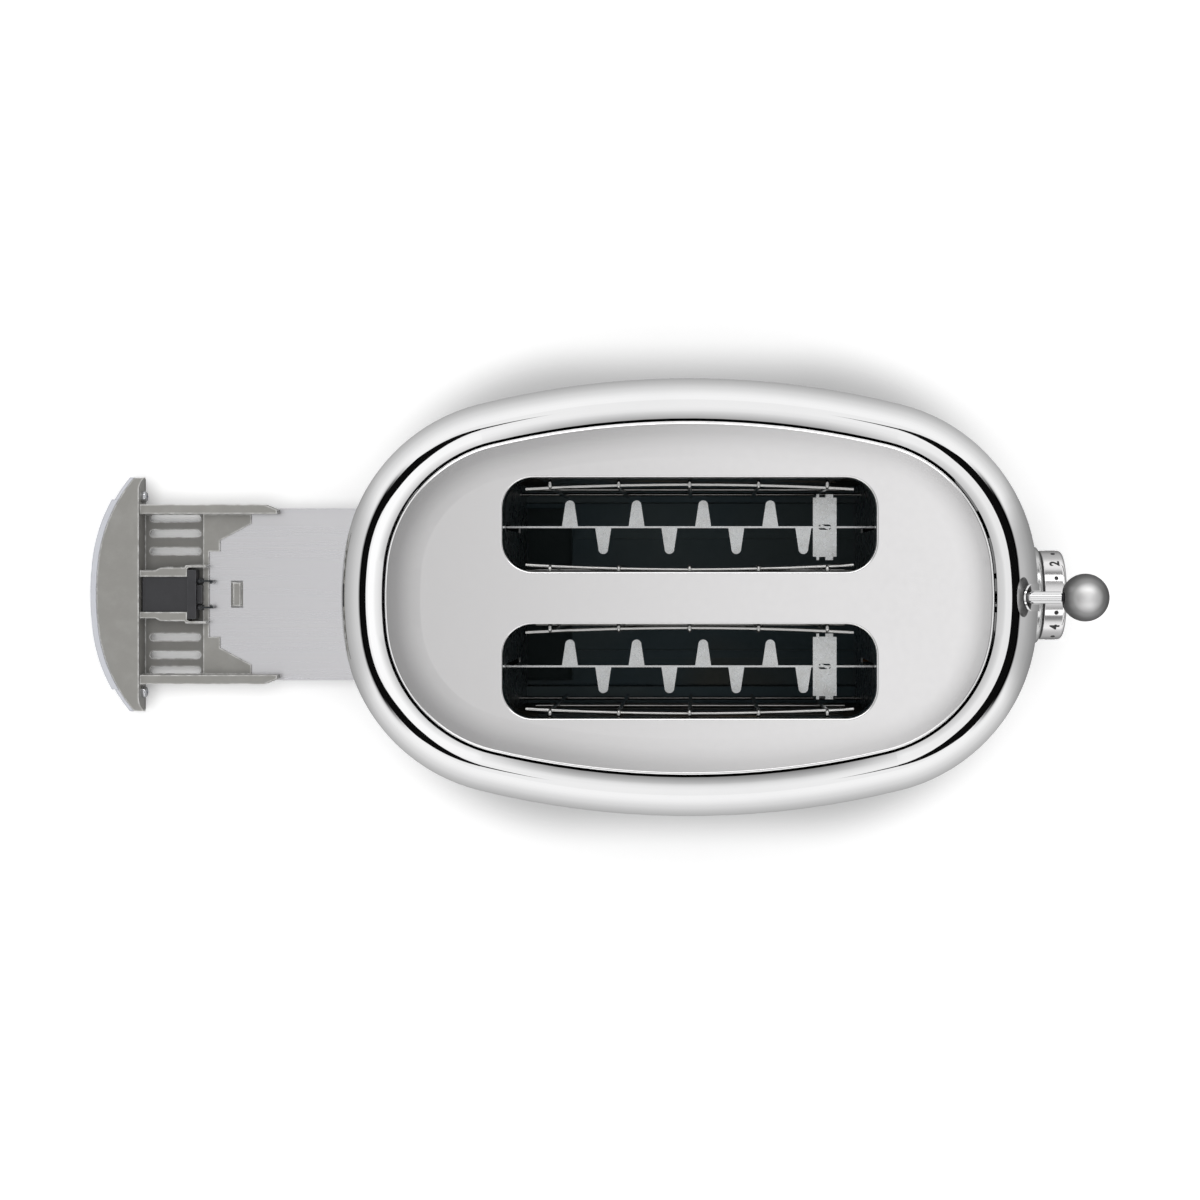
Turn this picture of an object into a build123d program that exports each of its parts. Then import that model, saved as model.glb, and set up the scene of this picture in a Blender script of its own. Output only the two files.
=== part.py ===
from build123d import *
from math import asin, atan2, cos, degrees, hypot, radians, sin, sqrt
import os

# Toaster with two bread slots, a lever, a browning dial, four buttons and a pull-out crumb tray.
# Millimetres. The origin is the middle of the body on the table, +X points at the lever end, +Z is up.
# Left is the +Y side. The crumb tray is drawn pulled out, and the bread carriage is drawn up.

# Body in plan: an oval of arcs that touch without a corner
body = dict(half_long=155.0, half_wide=99.0, side=382.0, corner=82.0, end=147.0)
seam = dict(half_long=128.6, half_wide=74.9, side=357.0, corner=59.0, end=138.0)

# Body in upright section
skin = 1.2
wall_foot = 22.0
widest_height = 75.0
wall_top = 165.0
wall_bow = 900.0
shoulder_bow = 36.0
seam_inset = 25.0
seam_gap = 0.8
seam_skirt = 187.0
fit_gap = 0.1
cut_over = 5.0
end_start = 120.0
end_run = 50.0

# Curved border of the top plate
plate_run = 15.5
plate_turn = 76.0
plate_edge = 1.9

# Bread slots in the top plate
slot_long = 158.4
slot_wide = 41.2
slot_corner = 13.8
slot_place = 30.7
rim_bend = 1.0
rim_drop = 10.0

# Heater box
box_half = 81.0
box_low = 25.0
box_high = 184.0
sheet = 0.8
shield_place = 60.0
card_place = 53.0
ribbon_wide = 1.8
ribbon_thick = 0.25
ribbon_runs = 10
ribbon_pitch = 14.0
ribbon_first = 41.0
ribbon_half = 68.0
card_low = 32.0
card_high = 178.0
slit_wide = 2.4
slit_spare = 2.5

# Bread carriage and its travel
lever_travel = 70.0
rest_level = 143.3
rest_deep = 6.0
rest_start = -85.0
teeth_left = (-53.0, -23.6, 5.8, 35.4)
teeth_right = (-38.3, -9.1, 20.4, 50.0)
tooth_base = 7.1
tooth_tip = 4.2
tooth_long = 11.8
saddle_place = 59.4
saddle_wide = 10.4
saddle_half = 14.5
saddle_notch = 2.8
saddle_corner = 3.0
saddle_drop = 4.0
saddle_hole = (5.6, 2.4)
tab_size = (4.2, 0.9)
tab_twist = -25.0
tab_root = 1.0
rod_place = 96.0
rod_radius = 3.0
bush_radius = 5.0
bracket_low = 131.0
bracket_high = 149.0
bracket_half = 34.5
bracket_start = 84.5
bracket_thick = 1.5
ear_centre = 95.5
ear_long = 19.0
ear_wide = 18.0
lug_spot = (91.0, 18.0)
lug_size = (10.0, 20.0)
arm_plate = 103.5
arm_plate_top = 185.0
rod_low = 34.5
rod_reach = 9.0
rod_lug = 6.0
spring_spot = (92.0, 22.0)
spring_top = 180.0
spring_radius = 4.0
spring_wire = 0.5
spring_pitch = 2.4
spring_reach = 28.0

# Electric parts beside the heater box
keeper_spot = (92.0, -22.0)
keeper_size = (12.0, 16.0, 3.0)
magnet_spot = (90.8, -22.0)
magnet_low = 40.0
magnet_size = (18.0, 20.0, 15.0)
pole_size = (8.0, 3.0, 5.6)
pole_pitch = 10.0
terminal_spot = (88.8, 24.0)
terminal_low = 30.0
terminal_size = (14.0, 22.0, 12.0)
terminal_hole = 2.0
terminal_pitch = 6.6
terminal_deep = 6.0

# Lever
arm_level = 178.9
arm_radius = 2.57
ball_centre = 168.4
ball_radius = 10.2
ball_flat = 159.2
collar_start = 157.9
collar_radius = 1.9
collar_tip = 1.5
trim_wide = 11.7
trim_plug = 10.0
trim_slot = 5.9
trim_lap = 0.85
trim_low = 101.5
trim_high = 185.6
trim_proud = 0.6

# Bread guides
wire_radius = 0.8
guide_offsets = {(1, 1): 17.3, (1, -1): 18.9, (-1, 1): 18.0, (-1, -1): 18.5}
guide_pivot = 60.0
guide_top = 183.0
guide_wires = (-59.1, -30.0, 0.0, 29.2, 58.3)
guide_half = 69.5
guide_bow = 2.0
guide_middle = 122.8
guide_hook = 1.3

# Dial and its ring
dial_level = 56.0
dial_radius = 21.25
dial_start = 166.7
dial_end = 177.3
ring_radius = 23.1
ring_end = 165.7
dial_edge = 2.0
dial_wall = 2.4
dial_hollow = 7.0
dish_deep = 0.8
dish_rim = 5.0
hub_radius = 6.0
shaft_grip = 6.0
shaft_radius = 3.0
ring_start = 144.0
ring_flange = 4.0
ring_wall = 2.5
ring_edge = 1.4
board_face = 118.0
board_thick = 1.6
board_wide = 90.0
board_tall = 54.0
board_posts = [(y, z) for y in (-39.5, 39.5) for z in (33.0, 79.0)]
post_radius = 2.5
post_bore = 1.5
relay_spot = (-24.0, 44.0)
relay_size = (14.0, 12.0)
buzzer_spot = (22.0, 70.0)
buzzer_radius = 4.0
part_tall = 8.0
pot_radius = 8.5
pot_deep = 9.4
pot_neck = 4.6
pot_neck_long = 6.0
shaft_start = 5.3

# Buttons, two on each side of the dial
button_side = 35.5
button_levels = (45.5, 66.5)
button_radius = 5.2
bezel_radius = 6.4
bezel_proud = 1.4
bezel_deep = 10.0
bezel_flange = 1.6
button_proud = 3.0
button_deep = 8.0
button_edge = 1.2
switch_size = 10.0
switch_deep = 6.0

# Base
pan_low = 4.0
pan_top = 5.2
band_inset = 2.2
band_top = 21.7
band_lip = 6.0
lip_inset = 0.8
mouth_gap = 0.7
mouth_drop = 0.3
mouth_run = 60.0
runner_start = -58.0
runner_place = 30.0
runner_wide = 4.0
runner_tall = 3.0
pan_vents = (112.0, 8.0, 12.0, 3, 7)
pan_vent_size = (10.0, 2.4)
foot_radius = 9.0
foot_edge = 0.8
foot_plug = 4.0
foot_plug_tall = 3.0
foot_spots = [(x, y) for x in (-95.0, 95.0) for y in (-67.0, 67.0)]
screw_spots = [(x, y) for x in (-70.0, 70.0) for y in (-54.0, 54.0)]
screw_radius = 1.6
screw_head = 3.2
screw_head_tall = 1.6
screw_long = 5.0
cross_wide = 0.8
cross_long = 3.6
cross_deep = 1.0
rail_inner = 45.4
rail_outer = 61.0
rail_start = -122.0
rail_end = 100.0
rail_thick = 1.5
gland_place = 60.0
gland_level = 13.0
gland_radius = 5.5
gland_bore = 3.5
gland_flange = 8.0
gland_flange_thick = 2.5
gland_inside = 8.0
gland_nose = 5.0
gland_taper = 8.0

# Crumb tray, measured when pushed in and then drawn pulled out along -X
tray_pull = 144.5
front_low = 5.6
front_top = 20.6
front_half = 57.9
front_back = -129.1
lip_back = -126.1
lip_start = 50.6
lip_deep = 2.6
lip_thick = 1.5
lip_turn = (0.9, 4.6)
fascia_half = 47.0
fascia_deep = 2.8
fascia_step = 1.2
arm_inner = 40.0
arm_outer = 44.6
arm_tip = -61.2
arm_top = 18.0
floor_low = 6.0
floor_top = 7.6
shelf_start = -99.4
shelf_top = 10.2
shelf_middle = -96.5
shelf_step = -91.1
shelf_end = -75.4
shelf_sides = (21.3, 26.8, 35.3)
arm_tip_wide = 2.0
arm_tip_long = 6.4
plate_low = 8.4
plate_top = 9.0
plate_half = 42.9
plate_start = -98.9
plate_end = 85.0
plate_rim = 3.0
plate_hole = -82.7
plate_hole_size = (6.0, 13.6)
catch_size = (3.6, 11.4, 1.2)
tongue_centre = -88.0
tongue_size = (20.0, 12.0)
vent_centre = -113.8
vent_long = 25.4
vent_wide = 3.4
vent_rows = (21.5, 30.4, 38.0)
tray_screw_spots = ((48.6, 13.0), (-48.6, 13.0))
tray_screw_radius = 1.4
tray_screw_head = 2.9
tray_screw_tall = 2.6
tray_screw_edge = 1.5
tray_screw_long = 5.0
tray_cross_long = 3.4
tray_cross_deep = 1.2
latch_half = 8.6
latch_end = -105.4
latch_tall = 8.9
latch_flange_half = 12.1
latch_flange_thick = 4.1
latch_flange_low = 10.4
latch_flange_tall = 8.1
plunger_start = -113.5
plunger_long = 14.6
plunger_level = 13.6
plunger_size = (9.0, 3.6)
bore_start = -119.0
housing_sides = (11.8, 13.2, 14.4)
housing_wall = 1.0
housing_corner = -106.4
housing_flare = (-107.0, -119.0, -121.5)
claw_side = 6.6
claw_thick = 0.9
claw_low = 11.6
claw_tall = 3.6
claw_eye = 1.1
pin_radius = 0.5
pin_tall = 4.4
pin_ear = (2.8, 2.6, 1.0)
claw_pivot = -100.1
claw_end = -93.4
hook_back = (1.4, 1.8)
hook_side = 1.5

# Striker that the claws close on
striker_wide = 8.0
striker_tip = -97.0
striker_low = 11.6
striker_shelf = 24.5
striker_high = 34.0
striker_thick = 1.0

pulled = Plane(origin=(-tray_pull, 0, 0))

# Where the arcs of the upright section meet
wall_turn = degrees(asin((wall_top - widest_height) / wall_bow))
shoulder_inset = wall_bow * (1 - cos(radians(wall_turn))) + shoulder_bow * cos(radians(wall_turn))
shoulder_level = wall_top - shoulder_bow * sin(radians(wall_turn))
seam_turn = 90 - degrees(asin((shoulder_inset - seam_inset) / shoulder_bow))
seam_level = shoulder_level + shoulder_bow * sin(radians(seam_turn))
plate_bow = plate_run / cos(radians(plate_turn))
plate_centre = seam_level - plate_bow * sin(radians(plate_turn))
top_level = plate_centre + plate_bow

os.makedirs("parts", exist_ok=True)


def save(piece, name):
    piece.part.label = name
    export_step(piece.part, f"parts/{name}.step")


def oval_arcs(oval):
    # The eight arcs of an oval, each as centre, radius, start angle and turn
    side_y = oval["half_wide"] - oval["side"]
    end_x = oval["half_long"] - oval["end"]
    reach_side = oval["side"] - oval["corner"]
    reach_end = oval["end"] - oval["corner"]
    span = hypot(end_x, side_y)
    along = (reach_side**2 - reach_end**2 + span**2) / (2 * span)
    across = sqrt(reach_side**2 - along**2)
    corner_x = (along * end_x - across * side_y) / span
    corner_y = side_y - (along * side_y + across * end_x) / span
    side_turn = degrees(atan2(corner_x, corner_y - side_y))
    end_turn = degrees(atan2(corner_y, corner_x - end_x))
    corner_turn = 90 - side_turn - end_turn
    return [
        ((end_x, 0), oval["end"], -end_turn, 2 * end_turn),
        ((corner_x, corner_y), oval["corner"], end_turn, corner_turn),
        ((0, side_y), oval["side"], 90 - side_turn, 2 * side_turn),
        ((-corner_x, corner_y), oval["corner"], 90 + side_turn, corner_turn),
        ((-end_x, 0), oval["end"], 180 - end_turn, 2 * end_turn),
        ((-corner_x, -corner_y), oval["corner"], 180 + end_turn, corner_turn),
        ((0, -side_y), oval["side"], 270 - side_turn, 2 * side_turn),
        ((corner_x, -corner_y), oval["corner"], 270 + side_turn, corner_turn),
    ]


def draw_oval(oval, inset):
    for centre, radius, start, turn in oval_arcs(oval):
        CenterArc(centre, radius - inset, start, turn)


def draw_wall(radius, outside, inside, low):
    # Strip of the upright section between two depths under the skin, from height low over the shoulder
    ends = []
    for depth in (outside, inside):
        start = degrees(asin((low - widest_height) / (wall_bow - depth)))
        wall = CenterArc((radius - wall_bow, widest_height), wall_bow - depth, start, wall_turn - start)
        shoulder_centre = (radius - shoulder_inset, shoulder_level)
        shoulder = CenterArc(shoulder_centre, shoulder_bow - depth, wall_turn, 90 - wall_turn)
        ends.append((wall @ 0, shoulder @ 1))
    Line(ends[0][0], ends[1][0])
    Line(ends[0][1], ends[1][1])


def draw_dome(radius):
    # Filled upright section under the shoulder
    shoulder = CenterArc((radius - shoulder_inset, shoulder_level), shoulder_bow, wall_turn, 90 - wall_turn)
    Polyline(shoulder @ 1, (radius - shoulder_inset, wall_top), shoulder @ 0)


def draw_border(radius):
    # Border of the top plate: it curves down from the flat middle and turns down at the seam
    edge = radius - seam_gap / 2
    rise = sqrt((plate_bow - plate_edge) ** 2 - (plate_run - plate_edge) ** 2)
    turn = degrees(atan2(rise, plate_run - plate_edge))
    level = plate_centre + rise
    outside = CenterArc((edge - plate_run, plate_centre), plate_bow, turn, 90 - turn)
    inside = CenterArc((edge - plate_run, plate_centre), plate_bow - skin, turn, 90 - turn)
    CenterArc((edge - plate_edge, level), plate_edge, 0, turn)
    CenterArc((edge - plate_edge, level), plate_edge - skin, 0, turn)
    Line(outside @ 1, inside @ 1)
    Polyline((edge, level), (edge, seam_skirt), (edge - skin, seam_skirt), (edge - skin, level))


def draw_band(radius):
    # Base band: a flat face with a lip that steps up inside the body's wall
    outside = radius - band_inset
    Polyline(
        (outside, pan_low),
        (outside, band_top),
        (outside - lip_inset, band_top),
        (outside - lip_inset, band_top + band_lip),
        (outside - lip_inset - skin, band_top + band_lip),
        (outside - lip_inset - skin, band_top - skin),
        (outside - skin, band_top - skin),
        (outside - skin, pan_low),
        close=True,
    )


def oval_ring(arcs, draw):
    # Solid ring that follows the oval, with the upright section that draw makes
    with BuildPart() as ring:
        for centre, radius, start, turn in arcs:
            outward = Vector(1, 0, 0).rotate(Axis.Z, start)
            section = Plane(origin=centre, x_dir=outward, z_dir=outward.rotate(Axis.Z, -90))
            with BuildSketch(section):
                with BuildLine():
                    draw(radius)
                make_face()
            revolve(axis=Axis(centre, (0, 0, 1)), revolution_arc=turn)
    return ring.part


def oval_slab(oval, inset, low, high):
    with BuildPart() as slab:
        with BuildSketch(Plane.XY.offset(low)):
            with BuildLine():
                draw_oval(oval, inset)
            make_face()
        extrude(amount=high - low)
    return slab.part


body_arcs = oval_arcs(body)
end_arc = body_arcs[0]
corner_arc = body_arcs[1]

# Turned-down edge of the body shell at the seam
with BuildPart() as shell_edge:
    add(oval_slab(seam, -seam_gap / 2 - skin, seam_skirt, top_level))
    add(oval_slab(seam, -seam_gap / 2, seam_skirt, top_level), mode=Mode.SUBTRACT)
    add(oval_ring(body_arcs, draw_dome), mode=Mode.INTERSECT)


def button_planes():
    # Planes on the body's outside, one for each button, with their normals straight out of the wall
    centre, radius, start, turn = corner_arc
    lean = asin((button_side - centre[1]) / radius)
    planes = []
    for side in (1, -1):
        for level in button_levels:
            inset = (level - widest_height) ** 2 / (2 * wall_bow)
            out = (radius - inset) * cos(lean)
            place = (centre[0] + out, side * (button_side - inset * sin(lean)), level)
            planes.append(Plane(origin=place, x_dir=(0, 0, 1), z_dir=(cos(lean), side * sin(lean), 0)))
    return planes


buttons = button_planes()

# Body shell with the openings in its lever end
with BuildPart() as body_shell:
    add(oval_ring(body_arcs, lambda radius: draw_wall(radius, 0, skin, wall_foot)))
    add(oval_slab(seam, -seam_gap / 2, seam_skirt - cut_over, top_level + cut_over), mode=Mode.SUBTRACT)
    add(shell_edge.part)
    with BuildSketch(Plane.YZ.offset(end_start)):
        with Locations((0, (trim_low + trim_high) / 2)):
            plug_long = trim_high - trim_low - 2 * trim_lap
            SlotOverall(plug_long + 2 * fit_gap, trim_plug + 2 * fit_gap, rotation=90)
        with Locations((0, dial_level)):
            Circle(ring_radius + 2 * fit_gap)
    extrude(amount=end_run, mode=Mode.SUBTRACT)
    for spot in buttons:
        with BuildSketch(spot.offset(-cut_over)):
            Circle(bezel_radius + fit_gap)
        extrude(amount=2 * cut_over, mode=Mode.SUBTRACT)
save(body_shell, "body_shell")

# Top plate with two rolled-in slot rims
with BuildPart() as top_plate:
    add(oval_ring(oval_arcs(seam), draw_border))
    add(oval_slab(seam, seam_gap / 2 + plate_run, top_level - skin, top_level))
    with BuildSketch(Plane.XY.offset(top_level - rim_drop)):
        with Locations((0, slot_place), (0, -slot_place)):
            RectangleRounded(
                slot_long - 2 * rim_bend + 2 * skin,
                slot_wide - 2 * rim_bend + 2 * skin,
                slot_corner - rim_bend + skin,
            )
    extrude(amount=rim_drop - skin / 2)
    with BuildSketch(Plane.XY.offset(top_level - rim_drop - cut_over)):
        with Locations((0, slot_place), (0, -slot_place)):
            RectangleRounded(slot_long - 2 * rim_bend, slot_wide - 2 * rim_bend, slot_corner - rim_bend)
    extrude(amount=rim_drop + 2 * cut_over, mode=Mode.SUBTRACT)
    plate_face = top_plate.faces().filter_by(GeomType.PLANE).sort_by(Axis.Z)[-1]
    fillet([edge for wire in plate_face.inner_wires() for edge in wire.edges()], rim_bend)
save(top_plate, "top_plate")

# Base band, open at the tray end
with BuildPart() as base_band:
    add(oval_ring(body_arcs, draw_band))
    with BuildSketch(Plane.XY.offset(front_low - mouth_drop)):
        with Locations((-body["half_long"], 0)):
            Rectangle(mouth_run, 2 * (front_half + mouth_gap))
    extrude(amount=band_top - front_low + mouth_drop, mode=Mode.SUBTRACT)
    centre, radius, start, turn = body_arcs[2]
    gland_lean = asin(gland_place / (radius - band_inset))
    gland_out = (sin(gland_lean), cos(gland_lean), 0)
    gland_spot = (gland_place, centre[1] + (radius - band_inset) * cos(gland_lean), gland_level)
    gland_plane = Plane(origin=gland_spot, x_dir=(0, 0, 1), z_dir=gland_out)
    with BuildSketch(gland_plane.offset(-cut_over)):
        Circle(gland_radius + fit_gap)
    extrude(amount=2 * cut_over, mode=Mode.SUBTRACT)
save(base_band, "base_band")

# Cord gland: a flanged bush for the mains cord, with a tapered nose
with BuildPart() as cord_gland:
    with BuildSketch(gland_plane.offset(-gland_inside)):
        Circle(gland_radius)
    extrude(amount=gland_inside + fit_gap + gland_flange_thick)
    with BuildSketch(gland_plane.offset(fit_gap)):
        Circle(gland_flange)
    extrude(amount=gland_flange_thick)
    with BuildSketch(gland_plane.offset(fit_gap + gland_flange_thick)):
        Circle(gland_radius)
    extrude(amount=gland_nose, taper=gland_taper)
    with BuildSketch(gland_plane.offset(-gland_inside - cut_over)):
        Circle(gland_bore)
    extrude(amount=gland_inside + gland_flange_thick + gland_nose + 2 * cut_over, mode=Mode.SUBTRACT)
save(cord_gland, "cord_gland")

# Base pan with two runners under the tray
with BuildPart() as base_pan:
    add(oval_slab(body, band_inset + skin, pan_low, pan_top))
    with BuildSketch(Plane.XY.offset(pan_top)):
        with Locations(((rail_end + runner_start) / 2, 0)):
            with GridLocations(1, 2 * runner_place, 1, 2):
                Rectangle(rail_end - runner_start, runner_wide)
    extrude(amount=runner_tall)
    with BuildSketch(Plane.XY.offset(pan_low)):
        with Locations(*foot_spots):
            Circle(foot_plug)
        with Locations(*screw_spots):
            Circle(screw_radius)
        with Locations((pan_vents[0], 0)):
            with GridLocations(*pan_vents[1:]):
                SlotOverall(*pan_vent_size, rotation=90)
    extrude(amount=pan_top - pan_low, mode=Mode.SUBTRACT)
save(base_pan, "base_pan")

# Rubber feet with plugs through the pan
with BuildPart() as feet:
    with BuildSketch():
        with Locations(*foot_spots):
            Circle(foot_radius)
    extrude(amount=pan_low)
    chamfer(feet.edges().group_by(Axis.Z)[0], foot_edge)
    with BuildSketch(Plane.XY.offset(pan_low)):
        with Locations(*foot_spots):
            Circle(foot_plug)
    extrude(amount=foot_plug_tall)
save(feet, "feet")

# Screws that hold the tray rails to the pan
with BuildPart() as base_screws:
    with BuildSketch(Plane.XY.offset(pan_low - screw_head_tall)):
        with Locations(*screw_spots):
            Circle(screw_head)
    extrude(amount=screw_head_tall)
    with BuildSketch(Plane.XY.offset(pan_low)):
        with Locations(*screw_spots):
            Circle(screw_radius)
    extrude(amount=screw_long)
    with BuildSketch(Plane.XY.offset(pan_low - screw_head_tall)):
        with Locations(*screw_spots):
            Rectangle(cross_long, cross_wide)
            Rectangle(cross_wide, cross_long)
    extrude(amount=cross_deep, mode=Mode.SUBTRACT)
save(base_screws, "base_screws")

# Tray rails: channels beside the tray that carry the heater box
with BuildPart() as tray_rails:
    for side in (1, -1):
        with BuildSketch(Plane.YZ.offset(rail_start)):
            with BuildLine():
                Polyline(
                    (side * rail_inner, pan_top),
                    (side * rail_outer, pan_top),
                    (side * rail_outer, pan_top + rail_thick),
                    (side * (rail_inner + rail_thick), pan_top + rail_thick),
                    (side * (rail_inner + rail_thick), box_low - rail_thick),
                    (side * rail_outer, box_low - rail_thick),
                    (side * rail_outer, box_low),
                    (side * rail_inner, box_low),
                    close=True,
                )
            make_face()
        extrude(amount=rail_end - rail_start)
    with BuildSketch(Plane.XY.offset(pan_top)):
        with Locations(*screw_spots):
            Circle(screw_radius)
    extrude(amount=rail_thick, mode=Mode.SUBTRACT)
save(tray_rails, "tray_rails")


def bulkhead(low_x):
    """End wall of the heater box, with slits for the bread rests and holes for the guides' pivots."""
    with BuildPart() as wall:
        with BuildSketch(Plane.YZ.offset(low_x)):
            with Locations((0, (box_low + box_high) / 2)):
                Rectangle(2 * shield_place + 2 * sheet, box_high - box_low)
            slit_low = rest_level - rest_deep - lever_travel - slit_spare
            slit_high = rest_level + slit_spare
            slit_middle = (slit_low + slit_high) / 2
            with Locations((slot_place, slit_middle), (-slot_place, slit_middle)):
                Rectangle(slit_wide, slit_high - slit_low, mode=Mode.SUBTRACT)
            for (slot_side, side), offset in guide_offsets.items():
                with Locations((slot_side * slot_place + side * offset, guide_pivot)):
                    Circle(wire_radius + fit_gap / 2, mode=Mode.SUBTRACT)
        extrude(amount=sheet)
    return wall


save(bulkhead(box_half), "lever_bulkhead")
save(bulkhead(-box_half - sheet), "tray_bulkhead")


def upright_sheet(low_y, thick, half_long, low, high):
    with BuildPart() as panel:
        with BuildSketch(Plane.XZ.offset(-low_y)):
            with Locations((0, (low + high) / 2)):
                Rectangle(2 * half_long, high - low)
        extrude(amount=-thick)
    return panel


def heater_ribbon(low_y):
    """One flat ribbon that runs back and forth up the face of its card."""
    with BuildPart() as ribbon:
        with BuildSketch(Plane.XZ.offset(-low_y)):
            for run in range(ribbon_runs):
                level = ribbon_first + run * ribbon_pitch
                with Locations((0, level)):
                    Rectangle(2 * ribbon_half, ribbon_wide)
                if run < ribbon_runs - 1:
                    turn_x = (ribbon_half - ribbon_wide / 2) * (1 if run % 2 == 0 else -1)
                    with Locations((turn_x, level + ribbon_pitch / 2)):
                        Rectangle(ribbon_wide, ribbon_pitch)
        extrude(amount=-ribbon_thick)
    return ribbon


save(upright_sheet(shield_place, sheet, box_half, box_low, box_high), "heat_shield_left")
save(upright_sheet(-shield_place - sheet, sheet, box_half, box_low, box_high), "heat_shield_right")
save(upright_sheet(-sheet / 2, sheet, box_half, card_low, card_high), "heater_card_centre")
save(upright_sheet(card_place, sheet, box_half, card_low, card_high), "heater_card_left")
save(upright_sheet(-card_place - sheet, sheet, box_half, card_low, card_high), "heater_card_right")
save(heater_ribbon(sheet / 2), "heater_ribbon_centre_left")
save(heater_ribbon(-sheet / 2 - ribbon_thick), "heater_ribbon_centre_right")
save(heater_ribbon(card_place - ribbon_thick), "heater_ribbon_left")
save(heater_ribbon(-card_place), "heater_ribbon_right")


def bread_rest(side):
    """Upright blade under the bread, with flat teeth that stand out to both sides by turns."""
    with BuildPart() as rest:
        with BuildSketch(Plane.XZ.offset(-side * slot_place - sheet / 2)):
            with Locations(((bracket_start + rest_start) / 2, rest_level - rest_deep / 2)):
                Rectangle(bracket_start - rest_start, rest_deep)
        extrude(amount=sheet)
        with BuildSketch(Plane.XY.offset(rest_level - tab_root)):
            with Locations(Location((saddle_place, side * slot_place), tab_twist)):
                Rectangle(*tab_size)
        extrude(amount=tab_root + 2 * sheet)
        with BuildSketch(Plane.XY.offset(rest_level - sheet)):
            for way, places in ((1, teeth_left), (-1, teeth_right)):
                for place in places:
                    root_y = side * slot_place
                    tip_y = root_y + way * (tooth_long - tooth_tip / 2)
                    with BuildLine():
                        Polyline(
                            (place - tooth_tip / 2, tip_y),
                            (place - tooth_base / 2, root_y),
                            (place + tooth_base / 2, root_y),
                            (place + tooth_tip / 2, tip_y),
                        )
                        ThreePointArc(
                            (place + tooth_tip / 2, tip_y),
                            (place, root_y + way * tooth_long),
                            (place - tooth_tip / 2, tip_y),
                        )
                    make_face()
        extrude(amount=sheet)
    return rest


save(bread_rest(1), "bread_rest_left")
save(bread_rest(-1), "bread_rest_right")

# Saddles clipped over the rests near the lever end, with ends bent down, a hole for the rest's
# twisted tab, and notches where the wires of the bread guides pass
with BuildPart() as rest_saddles:
    for side in (1, -1):
        middle = side * slot_place
        with BuildSketch(Plane.XY.offset(rest_level)):
            with Locations((saddle_place, middle)):
                Rectangle(saddle_wide, 2 * saddle_half)
                with GridLocations(saddle_wide, 2 * saddle_half, 2, 2):
                    Rectangle(saddle_corner, saddle_corner, mode=Mode.SUBTRACT)
                SlotOverall(*saddle_hole, mode=Mode.SUBTRACT)
        extrude(amount=sheet)
        with BuildSketch(Plane.XY.offset(rest_level - saddle_drop)):
            for end in (1, -1):
                with Locations((saddle_place, middle + end * (saddle_half - sheet / 2))):
                    Rectangle(saddle_wide - saddle_corner, sheet)
        extrude(amount=saddle_drop)
        with BuildSketch(Plane.XY.offset(rest_level - saddle_drop)):
            with Locations((guide_wires[-1], middle + saddle_half), (guide_wires[-1], middle - saddle_half)):
                Rectangle(saddle_notch, saddle_notch)
        extrude(amount=saddle_drop + sheet, mode=Mode.SUBTRACT)
save(rest_saddles, "rest_saddles")

# Slider bracket: a cross bar outside the bulkhead, two ears for the bush and a plate for the lever arm
with BuildPart() as slider_bracket:
    with BuildSketch(Plane.YZ.offset(bracket_start)):
        with Locations((0, (bracket_low + bracket_high) / 2)):
            Rectangle(2 * bracket_half, bracket_high - bracket_low)
    extrude(amount=bracket_thick)
    for ear in (bracket_low, bracket_high - bracket_thick):
        with BuildSketch(Plane.XY.offset(ear)):
            with Locations((ear_centre, 0)):
                Rectangle(ear_long, ear_wide)
            with Locations(lug_spot):
                Rectangle(*lug_size)
        extrude(amount=bracket_thick)
    with BuildSketch(Plane.YZ.offset(arm_plate)):
        with Locations((0, (bracket_low + arm_plate_top) / 2)):
            Rectangle(ear_wide, arm_plate_top - bracket_low)
        with Locations((0, arm_level)):
            Circle(arm_radius, mode=Mode.SUBTRACT)
    extrude(amount=bracket_thick)
    with BuildSketch(Plane.XY.offset(bracket_low)):
        with Locations((rod_place, 0)):
            Circle(bush_radius)
    extrude(amount=bracket_high - bracket_low, mode=Mode.SUBTRACT)
save(slider_bracket, "slider_bracket")

with BuildPart() as slider_bush:
    with BuildSketch(Plane.XY.offset(bracket_low - bracket_thick)):
        with Locations((rod_place, 0)):
            Circle(bush_radius)
            Circle(rod_radius + fit_gap / 2, mode=Mode.SUBTRACT)
    extrude(amount=bracket_high - bracket_low + 2 * bracket_thick)
save(slider_bush, "slider_bush")

with BuildPart() as keeper_plate:
    with BuildSketch(Plane.XY.offset(bracket_low)):
        with Locations(keeper_spot):
            Rectangle(*keeper_size[:2])
    extrude(amount=keeper_size[2])
save(keeper_plate, "keeper_plate")

with BuildPart() as lever_arm:
    with BuildSketch(Plane.YZ.offset(arm_plate)):
        with Locations((0, arm_level)):
            Circle(arm_radius)
    extrude(amount=collar_start - arm_plate)
save(lever_arm, "lever_arm")

with BuildPart() as lever_collar:
    with BuildSketch(Plane.XZ):
        with BuildLine():
            Polyline(
                (collar_start, arm_level),
                (collar_start, arm_level + collar_radius),
                (ball_flat, arm_level + collar_tip),
                (ball_flat, arm_level),
                close=True,
            )
        make_face()
    revolve(axis=Axis((0, 0, arm_level), (1, 0, 0)))
save(lever_collar, "lever_collar")

with BuildPart(Plane.YZ.offset(ball_centre)) as lever_ball:
    with Locations((0, arm_level, 0)):
        Sphere(ball_radius)
    split(bisect_by=Plane.YZ.offset(ball_flat), keep=Keep.TOP)
save(lever_ball, "lever_ball")

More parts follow.
